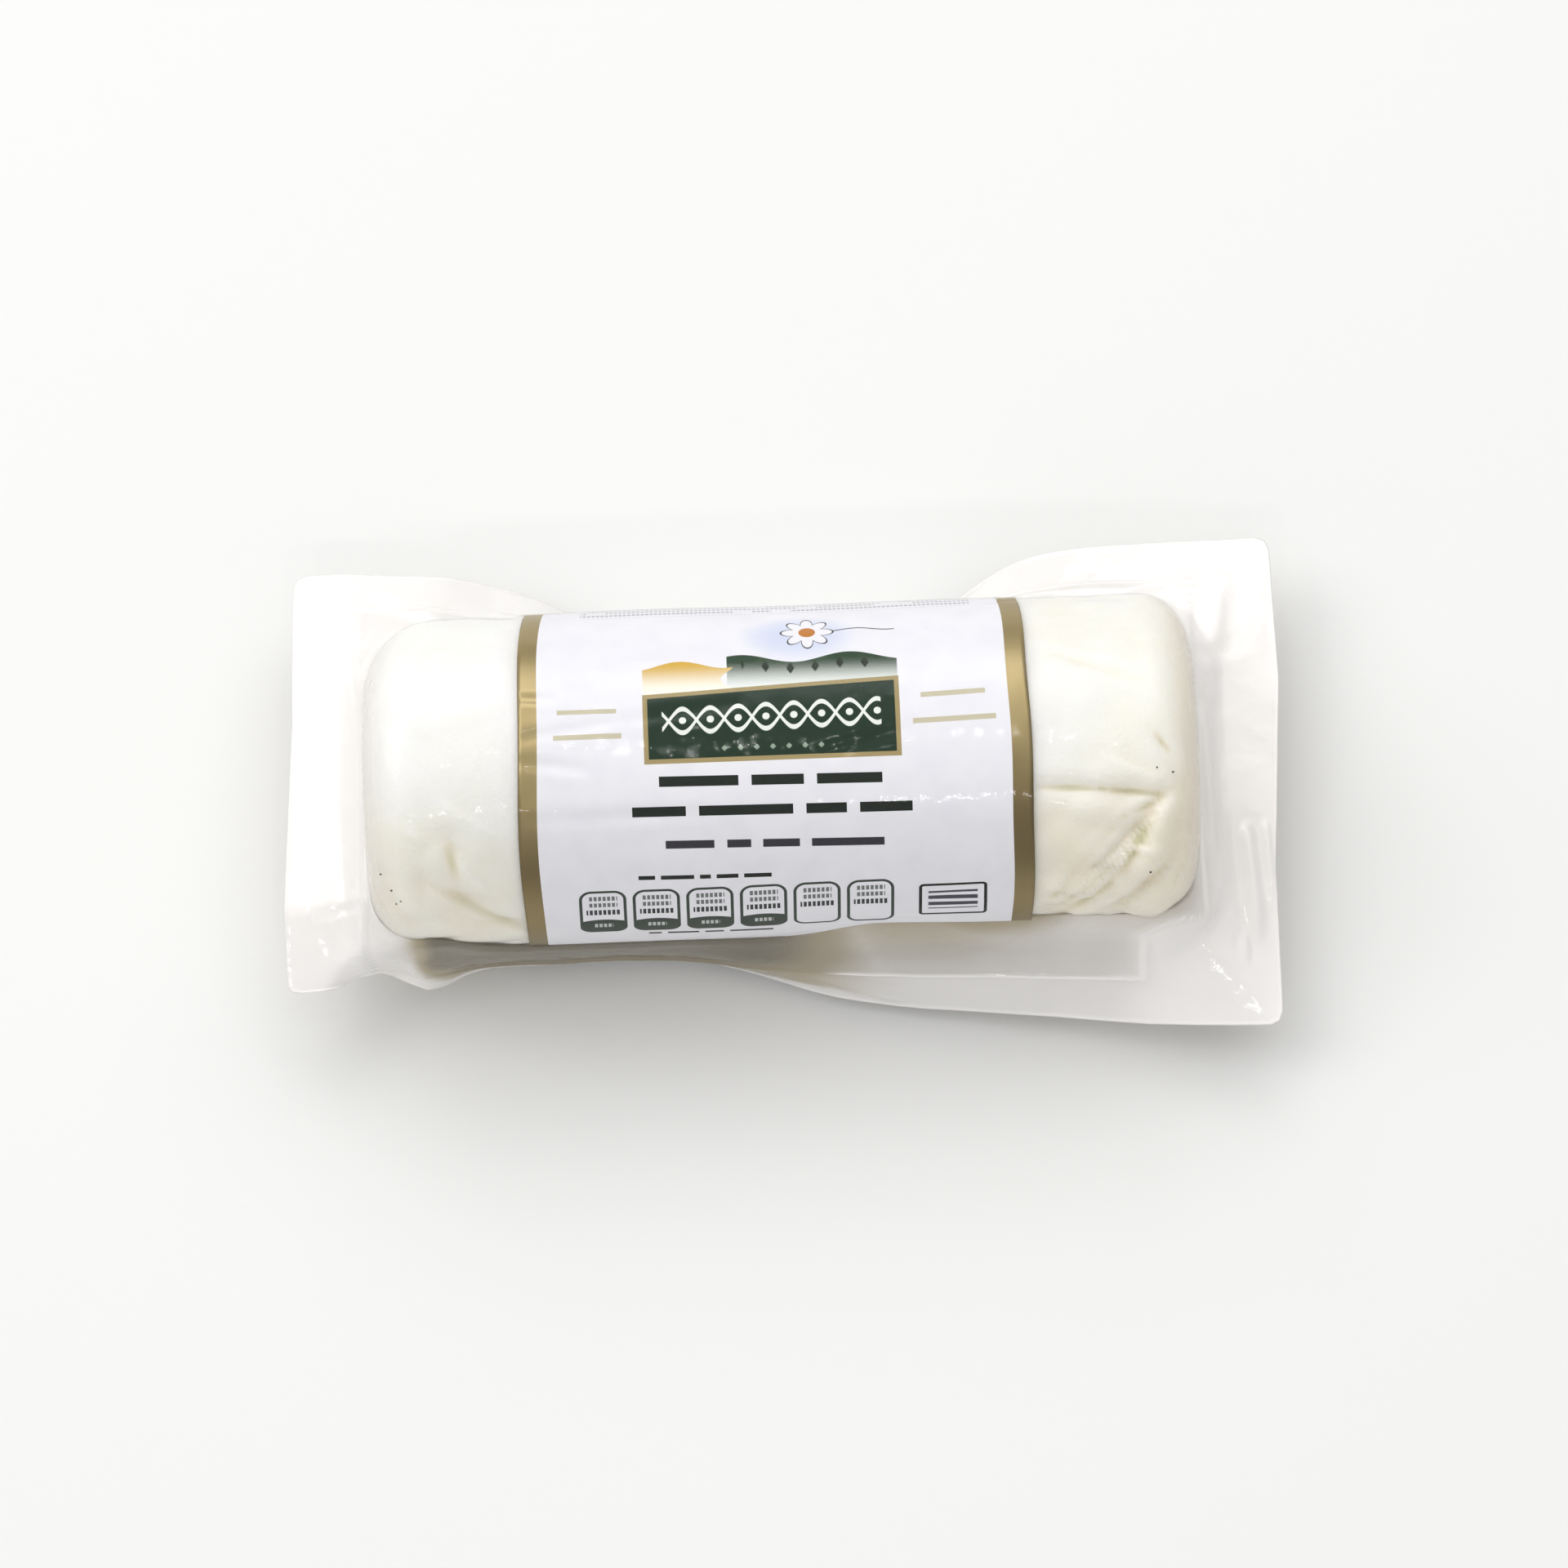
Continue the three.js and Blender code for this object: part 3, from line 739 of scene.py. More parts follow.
def print_boxes(p, colour):
    """Six rounded boxes, four of them with a dark foot, and a plain frame to their right."""
    paper = p.paper
    share = (p.x - BOX_LEFTS["first"]) * (1 / BOX_LEFTS["pitch"])
    x = (share.math("FRACT") - 0.5) * BOX_LEFTS["pitch"] + (BOX_LEFTS["pitch"] / 2 - BOX_HALF[0])
    y = p.y - BOX_MIDDLE + 0.012 * (p.x + 28)
    row = share.between(0.0, float(BOX_LEFTS["count"]))
    away = p.rounded(x, y, BOX_HALF, BOX_CORNER)
    outline = (abs(away + BOX_LINE / 2) < BOX_LINE / 2) * row
    foot = (away < 0) * (y > 1.2 + 0.05 * (x * x)) * (share < 4.0) * row
    colour = paper.blend(outline.or_else(foot), colour, rgb(56, 66, 58))
    inner = (abs(x) < 2.3) * row
    letters = (x * (1 / 0.62)).math("FRACT") < 0.68
    thin = (abs(y + 3.4) < 0.42).or_else(abs(y + 2.1) < 0.42) * (abs(x) < 2.0)
    colour = paper.blend(thin * letters * inner, colour, rgb(112, 118, 116))
    bold = abs(y + 0.5) < 0.55
    colour = paper.blend(bold * letters * inner, colour, rgb(52, 58, 56))
    pale = (abs(y - 2.8) < 0.5) * (abs(x) < 1.3) * letters * (share < 4.0) * row
    colour = paper.blend(pale, colour, rgb(196, 200, 198))
    mark_x, mark_y = p.x - MARK_MIDDLE[0], p.y - MARK_MIDDLE[1]
    mark = p.rounded(mark_x, mark_y, MARK_HALF, 0.7)
    colour = paper.blend(abs(mark + 0.22) < 0.22, colour, INK)
    bars = (abs((mark_y * (1 / 1.3)).math("FRACT") - 0.5) < 0.28) * (abs(mark_y + 0.1) < 1.95)
    bars = bars * (abs(mark_x) < 3.4)
    return paper.blend(bars, colour, rgb(72, 72, 82))


def paper_finish():
    """The whole print on white paper, with metallic gold along both edges of the band."""
    paper = Finish("printed_paper")
    p = Print(paper)
    fibre = paper.noise(260, 3)
    colour = paper.blend(fibre.eased(0.3, 0.8), PAPER_WHITE, rgb(236, 235, 241))
    for layer in (print_landscape, print_emblem, print_panel, print_words, print_boxes):
        colour = layer(p, colour)
    back = p.small_print(3.0, 1.75, 0.62, -60.0, -20.9, -27.0, 27.0)
    colour = paper.blend(back * 0.6, colour, rgb(120, 120, 126))
    from_left, from_right = paper.stored("from_left"), paper.stored("from_right")
    gold = (from_left < GOLD_EDGE["left"]).or_else(from_right < GOLD_EDGE["right"])
    tarnish = paper.noise(120, 2).eased(0.35, 0.75)
    leaf = paper.blend(tarnish, GOLD, rgb(158, 140, 96))
    # Painted reflection: the gold leaf is painted dark brown where the band faces the front, as if it mirrored a
    # dark room, starting further round on the left and lighter again low down
    turned = (p.y - 6.0 * (p.x < 0.0)).eased(1.0, 17.0)
    leaf = paper.blend(turned * (1.0 - 0.45 * p.y.eased(20.0, 31.0)), leaf, rgb(116, 101, 68))
    colour = paper.blend(gold, colour, leaf)
    return paper.finish(paper.add("BsdfPrincipled", {}, {
        "Base Color": colour,
        "Metallic": gold * 0.7,
        "Roughness": 0.5 - 0.1 * gold,
        "Specular IOR Level": 0.12,
        "Normal": paper.bump(fibre, 0.0001, 0.3),
    }))


# %% Band piece
PAPER_THICK = 0.3
BAND_STEPS = 118
SEAM_ANGLE = -158 * DEGREES
SEAM_STEP = 0.16
BAND_FLOOR = 0.2


def two_faces(rows, columns):
    """Faces of a sheet that closes round on itself: first face, second face and both rims."""
    first = grid_faces(rows, columns, wrap=True)
    count = rows * columns
    here = np.arange(rows) * columns
    ahead = np.roll(here, -1)
    last = columns - 1
    start_rim = np.stack([ahead, here, here + count, ahead + count], axis=-1)
    end_rim = np.stack([here, ahead, ahead + count, here + count], axis=-1) + last
    return np.vstack([first, first[:, ::-1] + count, start_rim, end_rim])


def band_grid():
    """x and angle over the band, rows round it. Its edges bow in at the back and are a little uneven."""
    angle = np.linspace(-math.pi, math.pi, AROUND, endpoint=False)[:, None]
    bowed = 1 - np.cos(angle - BAND_WIDEST)
    left = BAND_EDGES["left"][0] + BAND_EDGES["left"][1] * bowed + 0.12 * np.sin(5 * angle + 1)
    right = BAND_EDGES["right"][0] - BAND_EDGES["right"][1] * bowed + 0.08 * np.sin(7 * angle)
    share = np.linspace(0, 1, BAND_STEPS)[None, :]
    return angle, left + (right - left) * share, left, right


def paper_band():
    """Outer and inner face of the band. A low step at the back is the end of the glued paper."""
    angle, x, left, right = band_grid()
    past_seam = np.mod(angle - SEAM_ANGLE, 2 * math.pi)
    overlap = SEAM_STEP * (1 - ease(0.0, 1.2, past_seam)) * ease(0.0, 0.02, past_seam)
    height = BAND_PROUD + band_relief(x, angle) + overlap
    outer = placed(angle, x, LOG_RADIUS + height, BAND_FLOOR)
    inner = placed(angle, x, LOG_RADIUS + height - PAPER_THICK, BAND_FLOOR + PAPER_THICK)
    points = np.vstack([outer.reshape(-1, 3), inner.reshape(-1, 3)])
    faces = two_faces(*x.shape)
    piece = build_piece("printed_band", points, faces.tolist(), "paper", paper_finish())
    store(piece, "from_left", np.tile((x - left).ravel(), 2))
    store(piece, "from_right", np.tile((right - x).ravel(), 2))
    lay_print(piece, angle, x)
    return piece


def lay_print(piece, angle, x):
    """The UV map: x, and the angle times the band's radius. Faces that cross the bottom seam count on."""
    mesh = piece.data
    rows, columns = x.shape
    corner = np.empty(len(mesh.loops), dtype=np.int64)
    mesh.loops.foreach_get("vertex_index", corner)
    starts = np.empty(len(mesh.polygons), dtype=np.int64)
    mesh.polygons.foreach_get("loop_start", starts)
    row = corner % (rows * columns) // columns
    # Every face has four corners, so a face that holds both the last row and the first crosses the seam
    face_rows = row.reshape(-1, 4)
    crossing = (face_rows.max(axis=1) - face_rows.min(axis=1)) > rows / 2
    turned = np.where(crossing[:, None] & (face_rows == 0), rows, face_rows).ravel()
    around = (turned / rows * 2 - 1) * math.pi * band_high[1]
    along = x.ravel()[corner % (rows * columns)]
    layer = mesh.uv_layers.new(name="print")
    layer.data.foreach_set("uv", np.stack([along, around], axis=-1).astype(np.float32).ravel())


band = paper_band()
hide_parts("label_band")

# %% [markdown]
# ## The pouch
# The pouch is one clear film below and one above. Over the log the upper film clings to cheese and
# paper like a skin. Round the log the two films meet at the mouth, run out together as a clear web,
# and are welded along a strip at the edge. The flat flange bends: on the shown side its left half
# hangs straight down and its right half opens out, as a tray's rim would if it were soft. It is
# worked out as a flat sheet first, and then folded along the mouth and along the weld.

# %% Flange sizes in millimetres, and slopes in degrees below level
POUCH_LENGTH = 138.0
FLANGE_FLAT_HALF_WIDTH = 37.0
# Along the front the edge runs inwards to the left, and is cut away towards the left corner
FRONT_TAPER = 0.012
FRONT_TAPER_START = 50.0
LEFT_CUT = 7.4
LEFT_CUT_FROM = -59.0
LEFT_CUT_TO = -47.0
MOUTH_HEIGHT = 15.5
MOUTH_GAP = 0.6
WEB_WIDTH = 7.5
BEND_SOFTNESS = 1.0
END_PANEL_RISE = 3.6
PANEL_RISE_START = 9.0
PANEL_RISE_END = 1.0
LEFT_FOLD_HALF_WIDTH = 16.0
END_DROOP = 0.12
LOWEST_FILM = 0.4
FRONT_SLOPES = [
    (-69, 30, 30), (-63, 31, 31), (-57, 38, 40), (-51, 94, 101), (-45, 100, 107), (-30, 99, 108), (-15, 99, 114),
    (-2, 80, 98), (8, 70, 71), (24, 61, 59), (44, 44, 48), (69, 20, 20),
]
BACK_SLOPES = [
    (-69, 18, 18), (-55, 20, 22), (-42, 28, 30), (-33, 42, 48), (-20, 72, 84),
    (16, 72, 84), (27, 46, 52), (36, 21, 23), (69, 13, 14),
]
MOUTH_ANGLE = math.acos((MOUTH_HEIGHT - AXIS_HEIGHT) / LOG_RADIUS)


# %% Folding the flat flange
def left_end_share(x):
    """How far the raised panel at the left end has taken over, 0 to 1."""
    return ease(PANEL_RISE_START - LOG_LENGTH / 2, PANEL_RISE_END - LOG_LENGTH / 2, x)


def mouth_edge(side, front):
    """The rounding of the log's end edge where the mouth passes it."""
    return end_rounding(side, np.where(front, MOUTH_ANGLE, -MOUTH_ANGLE))


def mouth_point(side, front, turn, lift=0.0, gap=MOUTH_GAP):
    """The log's outline, a gap outside it, at the mouth's height plus a lift. turn goes round an end."""
    edge = mouth_edge(side, front)
    x = side * (LOG_LENGTH / 2 - edge + (edge + gap) * np.sin(turn))
    rise = END_PANEL_RISE * np.where(side < 0, left_end_share(x), 0)
    below = AXIS_HEIGHT - MOUTH_HEIGHT - rise - lift
    radius = LOG_RADIUS - edge + edge * np.cos(turn)
    y = np.sqrt(np.maximum(radius * radius - below * below, 0)) + gap * np.cos(turn)
    return x, y, AXIS_HEIGHT - below


def mouth_half_width(x, front):
    """Half the mouth's width: constant along the log, then round its end's edge, 0 past the end."""
    side = np.where(x < 0, -1, 1)
    edge = mouth_edge(side, front)
    sine = (np.abs(x) - LOG_LENGTH / 2 + edge) / (edge + MOUTH_GAP)
    turn = np.arcsin(np.clip(sine, 0, 1))
    return np.where(sine < 1, mouth_point(side, front, turn)[1], 0)


def flat_half_width(x, front):
    """From the log's axis to the film's edge, laid flat: narrower towards the left corner in front."""
    taper = FRONT_TAPER * np.maximum(0, FRONT_TAPER_START - x)
    cut = LEFT_CUT * (1 - ease(LEFT_CUT_FROM, LEFT_CUT_TO, x))
    return FLANGE_FLAT_HALF_WIDTH - np.where(front, taper + cut, 0)


def ripple(x, y):
    """Slow waves of the loose film: 0.22 sin(0.21 x + 1) + 0.13 sin(0.47 x + 0.2 y)."""
    return 0.22 * np.sin(0.21 * x + 1) + 0.13 * np.sin(0.47 * x + 0.2 * y)


def fold_film(x, flat_y):
    """Folds flat points: each wing bends down along the mouth, and again along the weld.
    Gives the points, and how far each lies beyond the fold."""
    front = flat_y < 0
    pouch_x = x + LOG_MIDDLE
    left_end = left_end_share(x)
    side_fold = mouth_point(1, front, 0.0)[1]
    end_fold = side_fold + (LEFT_FOLD_HALF_WIDTH - side_fold) * left_end
    fold_line = np.maximum(end_fold, mouth_half_width(x, front))
    reach = np.abs(flat_y)
    beyond = soft_ramp(reach - fold_line, BEND_SOFTNESS)
    strip = soft_ramp(beyond - WEB_WIDTH, BEND_SOFTNESS)
    web = beyond - strip
    slopes = []
    for column in (1, 2):
        ahead = through_stations(FRONT_SLOPES, pouch_x, column)
        behind = through_stations(BACK_SLOPES, pouch_x, column)
        slopes.append(DEGREES * np.where(front, ahead, behind))
    across = reach - beyond + web * np.cos(slopes[0]) + strip * np.cos(slopes[1])
    past_end = soft_ramp(np.abs(x) - LOG_LENGTH / 2 - MOUTH_GAP, BEND_SOFTNESS)
    drop = web * np.sin(slopes[0]) + strip * np.sin(slopes[1]) + past_end * END_DROOP
    height = MOUTH_HEIGHT + END_PANEL_RISE * left_end - drop
    height = height + ripple(pouch_x, flat_y) * np.minimum(1, beyond / WEB_WIDTH)
    return np.stack([pouch_x, np.where(front, -across, across), np.maximum(LOWEST_FILM, height)], axis=-1)


# %% Stations round the mouth
FLANGE_STEP = 0.8
CORNER_STEPS = 24
ACROSS_STEPS = 64
CORNER_ROUNDING = 0.2
# How far the edge at each corner lies further out than on the flat sheet: front or not, then left and right
CORNER_OUT = {True: (1.5, -0.8), False: (0.0, 1.5)}


def rounded_rise(share):
    """Rises with the share and stays at 1, with a soft bend between, which rounds the pouch's corner."""
    return share - soft_ramp(share - 1 + CORNER_ROUNDING / 2, CORNER_ROUNDING)


def corner_path(side, front):
    """Round one corner of the log: mouth points by turn, and the film's edge out past its square corner."""
    turn = np.linspace(0, 1, CORNER_STEPS + 1)
    if (side > 0) != front:
        turn = turn[::-1]
    x, y, _ = mouth_point(side, front, turn * math.pi / 2)
    end_y = mouth_point(side, front, math.pi / 2)[1]
    side_x = mouth_point(side, front, 0.0)[0]
    square_x = side * (POUCH_LENGTH / 2 + CORNER_OUT[front][side > 0]) - LOG_MIDDLE
    edge_x = side_x + (square_x - side_x) * rounded_rise(2 * turn)
    edge_y = end_y + (flat_half_width(edge_x, front) - end_y) * rounded_rise(2 - 2 * turn)
    sign = -1 if front else 1
    side_of = np.full_like(turn, side)
    return np.stack([x, sign * y, edge_x, sign * edge_y, side_of, turn * math.pi / 2], axis=-1)


def flange_stations():
    """Rows of (mouth x, y, edge x, y, side, turn), round the whole pouch."""
    corners = [corner_path(side, front) for side, front in ((1, True), (1, False), (-1, False), (-1, True))]
    rows = []
    for path, following in zip(corners, corners[1:] + corners[:1]):
        gap = np.hypot(*(following[0, :2] - path[-1, :2]))
        share = np.linspace(0, 1, int(gap / FLANGE_STEP) + 1)[1:-1, None]
        line = path[-1] + share * (following[0] - path[-1])
        along = np.abs(line[:, 4]) < 1
        line[:, 3] = np.where(along, np.sign(line[:, 1]) * flat_half_width(line[:, 2], line[:, 1] < 0), line[:, 3])
        rows += [path, line]
    return np.vstack(rows)


stations = flange_stations()
print(f"{len(stations)} stations round the flange")

# %% [markdown]
# ## Small folds of the flange
# Loose film is never smooth. Tension pulls fine wrinkles from the log out into the web, the weld
# leaves a thin raised line, and the free corners carry a few long soft dents that catch the light.

# %% Flange relief
# Ends as (x from the log's middle, flat y), then depth and width in millimetres
FLANGE_FOLDS = [
    ((65.4, -9.0), (66.0, -23.0), -0.7, 1.0),
    ((67.9, -8.0), (68.3, -18.0), -0.5, 0.7),
    ((60.2, 9.0), (60.3, -12.0), -0.7, 0.7),
    ((-65.2, -17.1), (-59.6, -16.8), 0.45, 0.5),
    ((64.0, -24.5), (64.2, -26.5), -0.4, 0.6),
    ((47.0, -28.0), (48.5, -31.0), -0.35, 0.5),
    ((28.0, -25.5), (50.0, -25.0), 0.25, 1.6),
    ((8.0, -33.5), (16.0, -35.0), -0.45, 0.9),
    ((4.0, -32.0), (7.5, -33.0), -0.35, 0.6),
    ((20.0, -24.0), (36.0, -26.5), -0.25, 0.8),
    ((47.0, 27.0), (60.0, 34.0), 0.4, 1.8),
    ((60.5, 12.0), (64.0, 30.0), -0.35, 1.4),
    ((-61.0, 20.0), (-66.0, 33.0), 0.4, 1.6),
    ((-44.0, 26.0), (-56.0, 34.0), -0.35, 1.5),
    ((-50.0, -27.0), (-62.0, -33.0), 0.35, 1.4),
    ((57.0, 16.0), (66.5, 20.0), 0.25, 1.0),
]
WELD_RIDGE = 0.36
WELD_HALF_WIDTH = 0.38
END_WEB_WIDTH = 1.4
# Where the weld cuts the shown side's right corner off, as (x from the log's middle, flat y)
WELD_CORNER = (49.5, -24.5)


def weld_distance(x, flat_y):
    """Distance past the inner line of the weld, which runs one web's width outside the log."""
    front = flat_y < 0
    past_side = np.abs(flat_y) - mouth_point(1, front, 0.0)[1] - WEB_WIDTH
    past_end = np.abs(x) - LOG_LENGTH / 2 - END_WEB_WIDTH
    past_corner = x - WELD_CORNER[0] - 3 * np.maximum(0, flat_y - WELD_CORNER[1])
    return np.maximum(np.maximum(past_side, past_end), past_corner)


def flange_relief(x, flat_y, from_mouth):
    """Ridge along the weld, wrinkles that fade away from the log, and the long soft folds."""
    weld = WELD_RIDGE * np.exp(-((weld_distance(x, flat_y) / WELD_HALF_WIDTH) ** 2))
    plane = np.stack([x, flat_y, 0 * x], axis=-1)
    close = ease(0.0, 1.5, from_mouth) * (1 - ease(5.0, 11.0, from_mouth)) * (1 - 0.7 * ease(44.0, 54.0, np.abs(x)))
    wrinkles = 0.5 * close * crumple(plane, 301, 5, 11)
    loose = 0.3 * ease(1.0, 5.0, from_mouth) * unevenness(plane, 311, 9, 22)
    folds = crease_relief(FLANGE_FOLDS, x, flat_y, unit=1.0) * ease(0.0, 2.0, from_mouth)
    return weld + wrinkles + 0.5 * loose + folds


# %% [markdown]
# ## Clear film
# Film is mostly a mirror over a window. The share that it mirrors grows with the slant of the view:
# Schlick's rule gives it as f + g * facing^5, which is alike from inside and outside. Where
# the two films are welded they turn a little milky. Whey tints the web beside the log, and painted
# shade darkens the web under the log, a spot beside the log right of its middle, and the film over the log's ends.


# %% Film finish
def film_finish():
    """A window, under a mirror by Schlick's rule, with a milky share where the mesh says so."""
    film = Finish("clear_film")
    facing = film.add("LayerWeight", {}, {"Blend": 0.5}, output=1)
    straight = film.stored("mirror")
    mirror = straight + 0.35 * facing**5.0
    ridged = abs(film.noise(150, 2) - 0.5) * -2.0
    fine = ridged + 0.35 * film.noise(330, 3) + 0.15 * film.noise(900, 2)
    normal = film.bump(fine, 0.0004, 0.4)
    window = film.add("BsdfTransparent", {}, {"Color": (0.985, 0.985, 0.985, 1.0)})
    gloss = film.add("BsdfAnisotropic", {}, {"Roughness": 0.09, "Normal": normal})
    clear = film.add("MixShader", {}, {0: mirror, 1: window, 2: gloss})
    # Whey beside the log, and painted shade: the darkest tint stands in for shade under and beside the log
    whey = film.stored("whey")
    milk = film.blend(whey.eased(0.0, 0.6), rgb(250, 247, 244), rgb(176, 163, 134))
    milk = film.blend(whey.eased(0.55, 1.0), milk, rgb(112, 104, 84))
    haze = film.stored("haze") * (0.85 + 0.3 * film.noise(60, 2))
    body = film.add("BsdfPrincipled", {}, {
        "Base Color": milk,
        "Roughness": 0.11,
        "Normal": normal,
    })
    return film.finish(film.add("MixShader", {}, {0: haze, 1: clear, 2: body}))


# %% Film over the log
FILM_ABOVE_PAPER = 0.12
SKIN_HAZE = 0.008
SKIN_MIRROR = 0.014
END_HAZE = 0.4
END_SHADE_TINT = 0.1
FILM_WRINKLES = [
    ((5.0, 15.5), (12.0, 9.5), -0.22, 0.6),
    ((9.0, 79.0), (19.0, 82.0), -0.3, 0.6),
    ((-29.0, -12.0), (-24.5, 4.0), -0.2, 0.7),
    ((-25.5, -10.0), (-21.5, 3.0), -0.16, 0.6),
    ((-12.0, 3.0), (-2.0, -4.0), -0.12, 0.6),
    ((-35.0, 30.0), (-30.0, 33.0), -0.25, 0.5),
]

clinging = 1 - ease(0.1, 1.6, OUTSIDE)
wrinkled = np.maximum(0, crease_relief(FILM_WRINKLES, X, ARC))
film_height = BARE * (1 - clinging) + (ON_BAND + BAND_PROUD + FILM_ABOVE_PAPER + wrinkled) * clinging
film_material = film_finish()
skin = build_piece("film_skin", *closed_skin(film_height, 0.02), "film", film_material)
skin_end = ease(0.3, 1.0, np.abs(OUT_X))
store(skin, "haze", on_skin(SKIN_HAZE + END_HAZE * skin_end))
# Painted shade: the film over the log's ends is tinted as if their rounding lay in shade
store(skin, "whey", on_skin(END_SHADE_TINT * skin_end))
store(skin, "mirror", on_skin(np.full(X.shape, SKIN_MIRROR)))

# %% Film flange
FILM_HALF_THICKNESS = 0.15
SETTLE_STEPS = 6
SETTLE_REACH = 3.5
FILLET_LIFT = 1.9
RIGHT_FRONT_LIFT = 8.0
END_LIFT = 0.5
FILLET_REACH = 5.5
UNDER_REACH = 1.6
RIM_BEAD = 0.16
FLANGE_MIRROR = 0.06
CLEAR_UNDERSIDE = 0.0


def surface_normals(x, flat_y):
    """Cross product of small steps along the folded film."""
    nudge = 0.05
    along_x = fold_film(x + nudge, flat_y) - fold_film(x - nudge, flat_y)
    along_y = fold_film(x, flat_y + nudge) - fold_film(x, flat_y - nudge)
    normal = np.cross(along_x, along_y)
    return normal / np.linalg.norm(normal, axis=-1, keepdims=True)


def settled(folded, x, flat_y, from_mouth):
    """Away from the mouth, sharp changes of the fold settle: how far each point is moved from the
    flat sheet becomes a bell-shaped mean over its neighbours round the pouch."""
    moved = folded - np.stack([x + LOG_MIDDLE, flat_y, 0 * x], axis=-1)
    steps = np.arange(-3 * SETTLE_STEPS, 3 * SETTLE_STEPS + 1)
    bell = np.exp(-0.5 * (steps / SETTLE_STEPS) ** 2)
    mean = sum(weight * np.roll(moved, step, axis=0) for weight, step in zip(bell / bell.sum(), steps))
    share = ease(0.0, SETTLE_REACH, from_mouth) * (1 - 0.85 * ease(-60.0, -64.0, x))
    return folded + (mean - moved) * share[..., None]


def grid_normals(points):
    """Cross product of the steps across the rows, which go round the pouch, and along them."""
    ahead = np.roll(points, -1, axis=0) - np.roll(points, 1, axis=0)
    outward = np.gradient(points, axis=1)
    normal = np.cross(outward, ahead)
    normal /= np.maximum(np.linalg.norm(normal, axis=-1, keepdims=True), 1e-9)
    return normal * np.sign(normal[..., 2:].mean())


def mouth_place(lift):
    """Where the upper film, for a positive lift, or the lower one leaves the skin of the log.
    The upper film is lifted more at the right of the shown side, and to the axis' height at both ends."""
    front = stations[:, 1] < 0
    if lift > 0:
        lift = lift + (RIGHT_FRONT_LIFT - lift) * front * ease(-2.0, 13.0, stations[:, 0])
        raised = MOUTH_HEIGHT + END_PANEL_RISE * left_end_share(stations[:, 0])
        lift = lift + (AXIS_HEIGHT + END_LIFT - raised - lift) * ease(38.0, 50.0, np.abs(stations[:, 0]))
    side = np.where(stations[:, 4] < 0, -1, 1)
    x, y, z = mouth_point(side, front, stations[:, 5], lift, gap=-0.05)
    straight = np.abs(stations[:, 4]) < 1
    x = np.where(straight, stations[:, 0], x)
    on_end = (np.abs(stations[:, 0]) > LOG_LENGTH / 2) & (np.abs(stations[:, 1]) < np.abs(y))
    y = np.where(on_end, np.abs(stations[:, 1]), y)
    return np.stack([x + LOG_MIDDLE, np.where(front, -y, y), z], axis=-1)


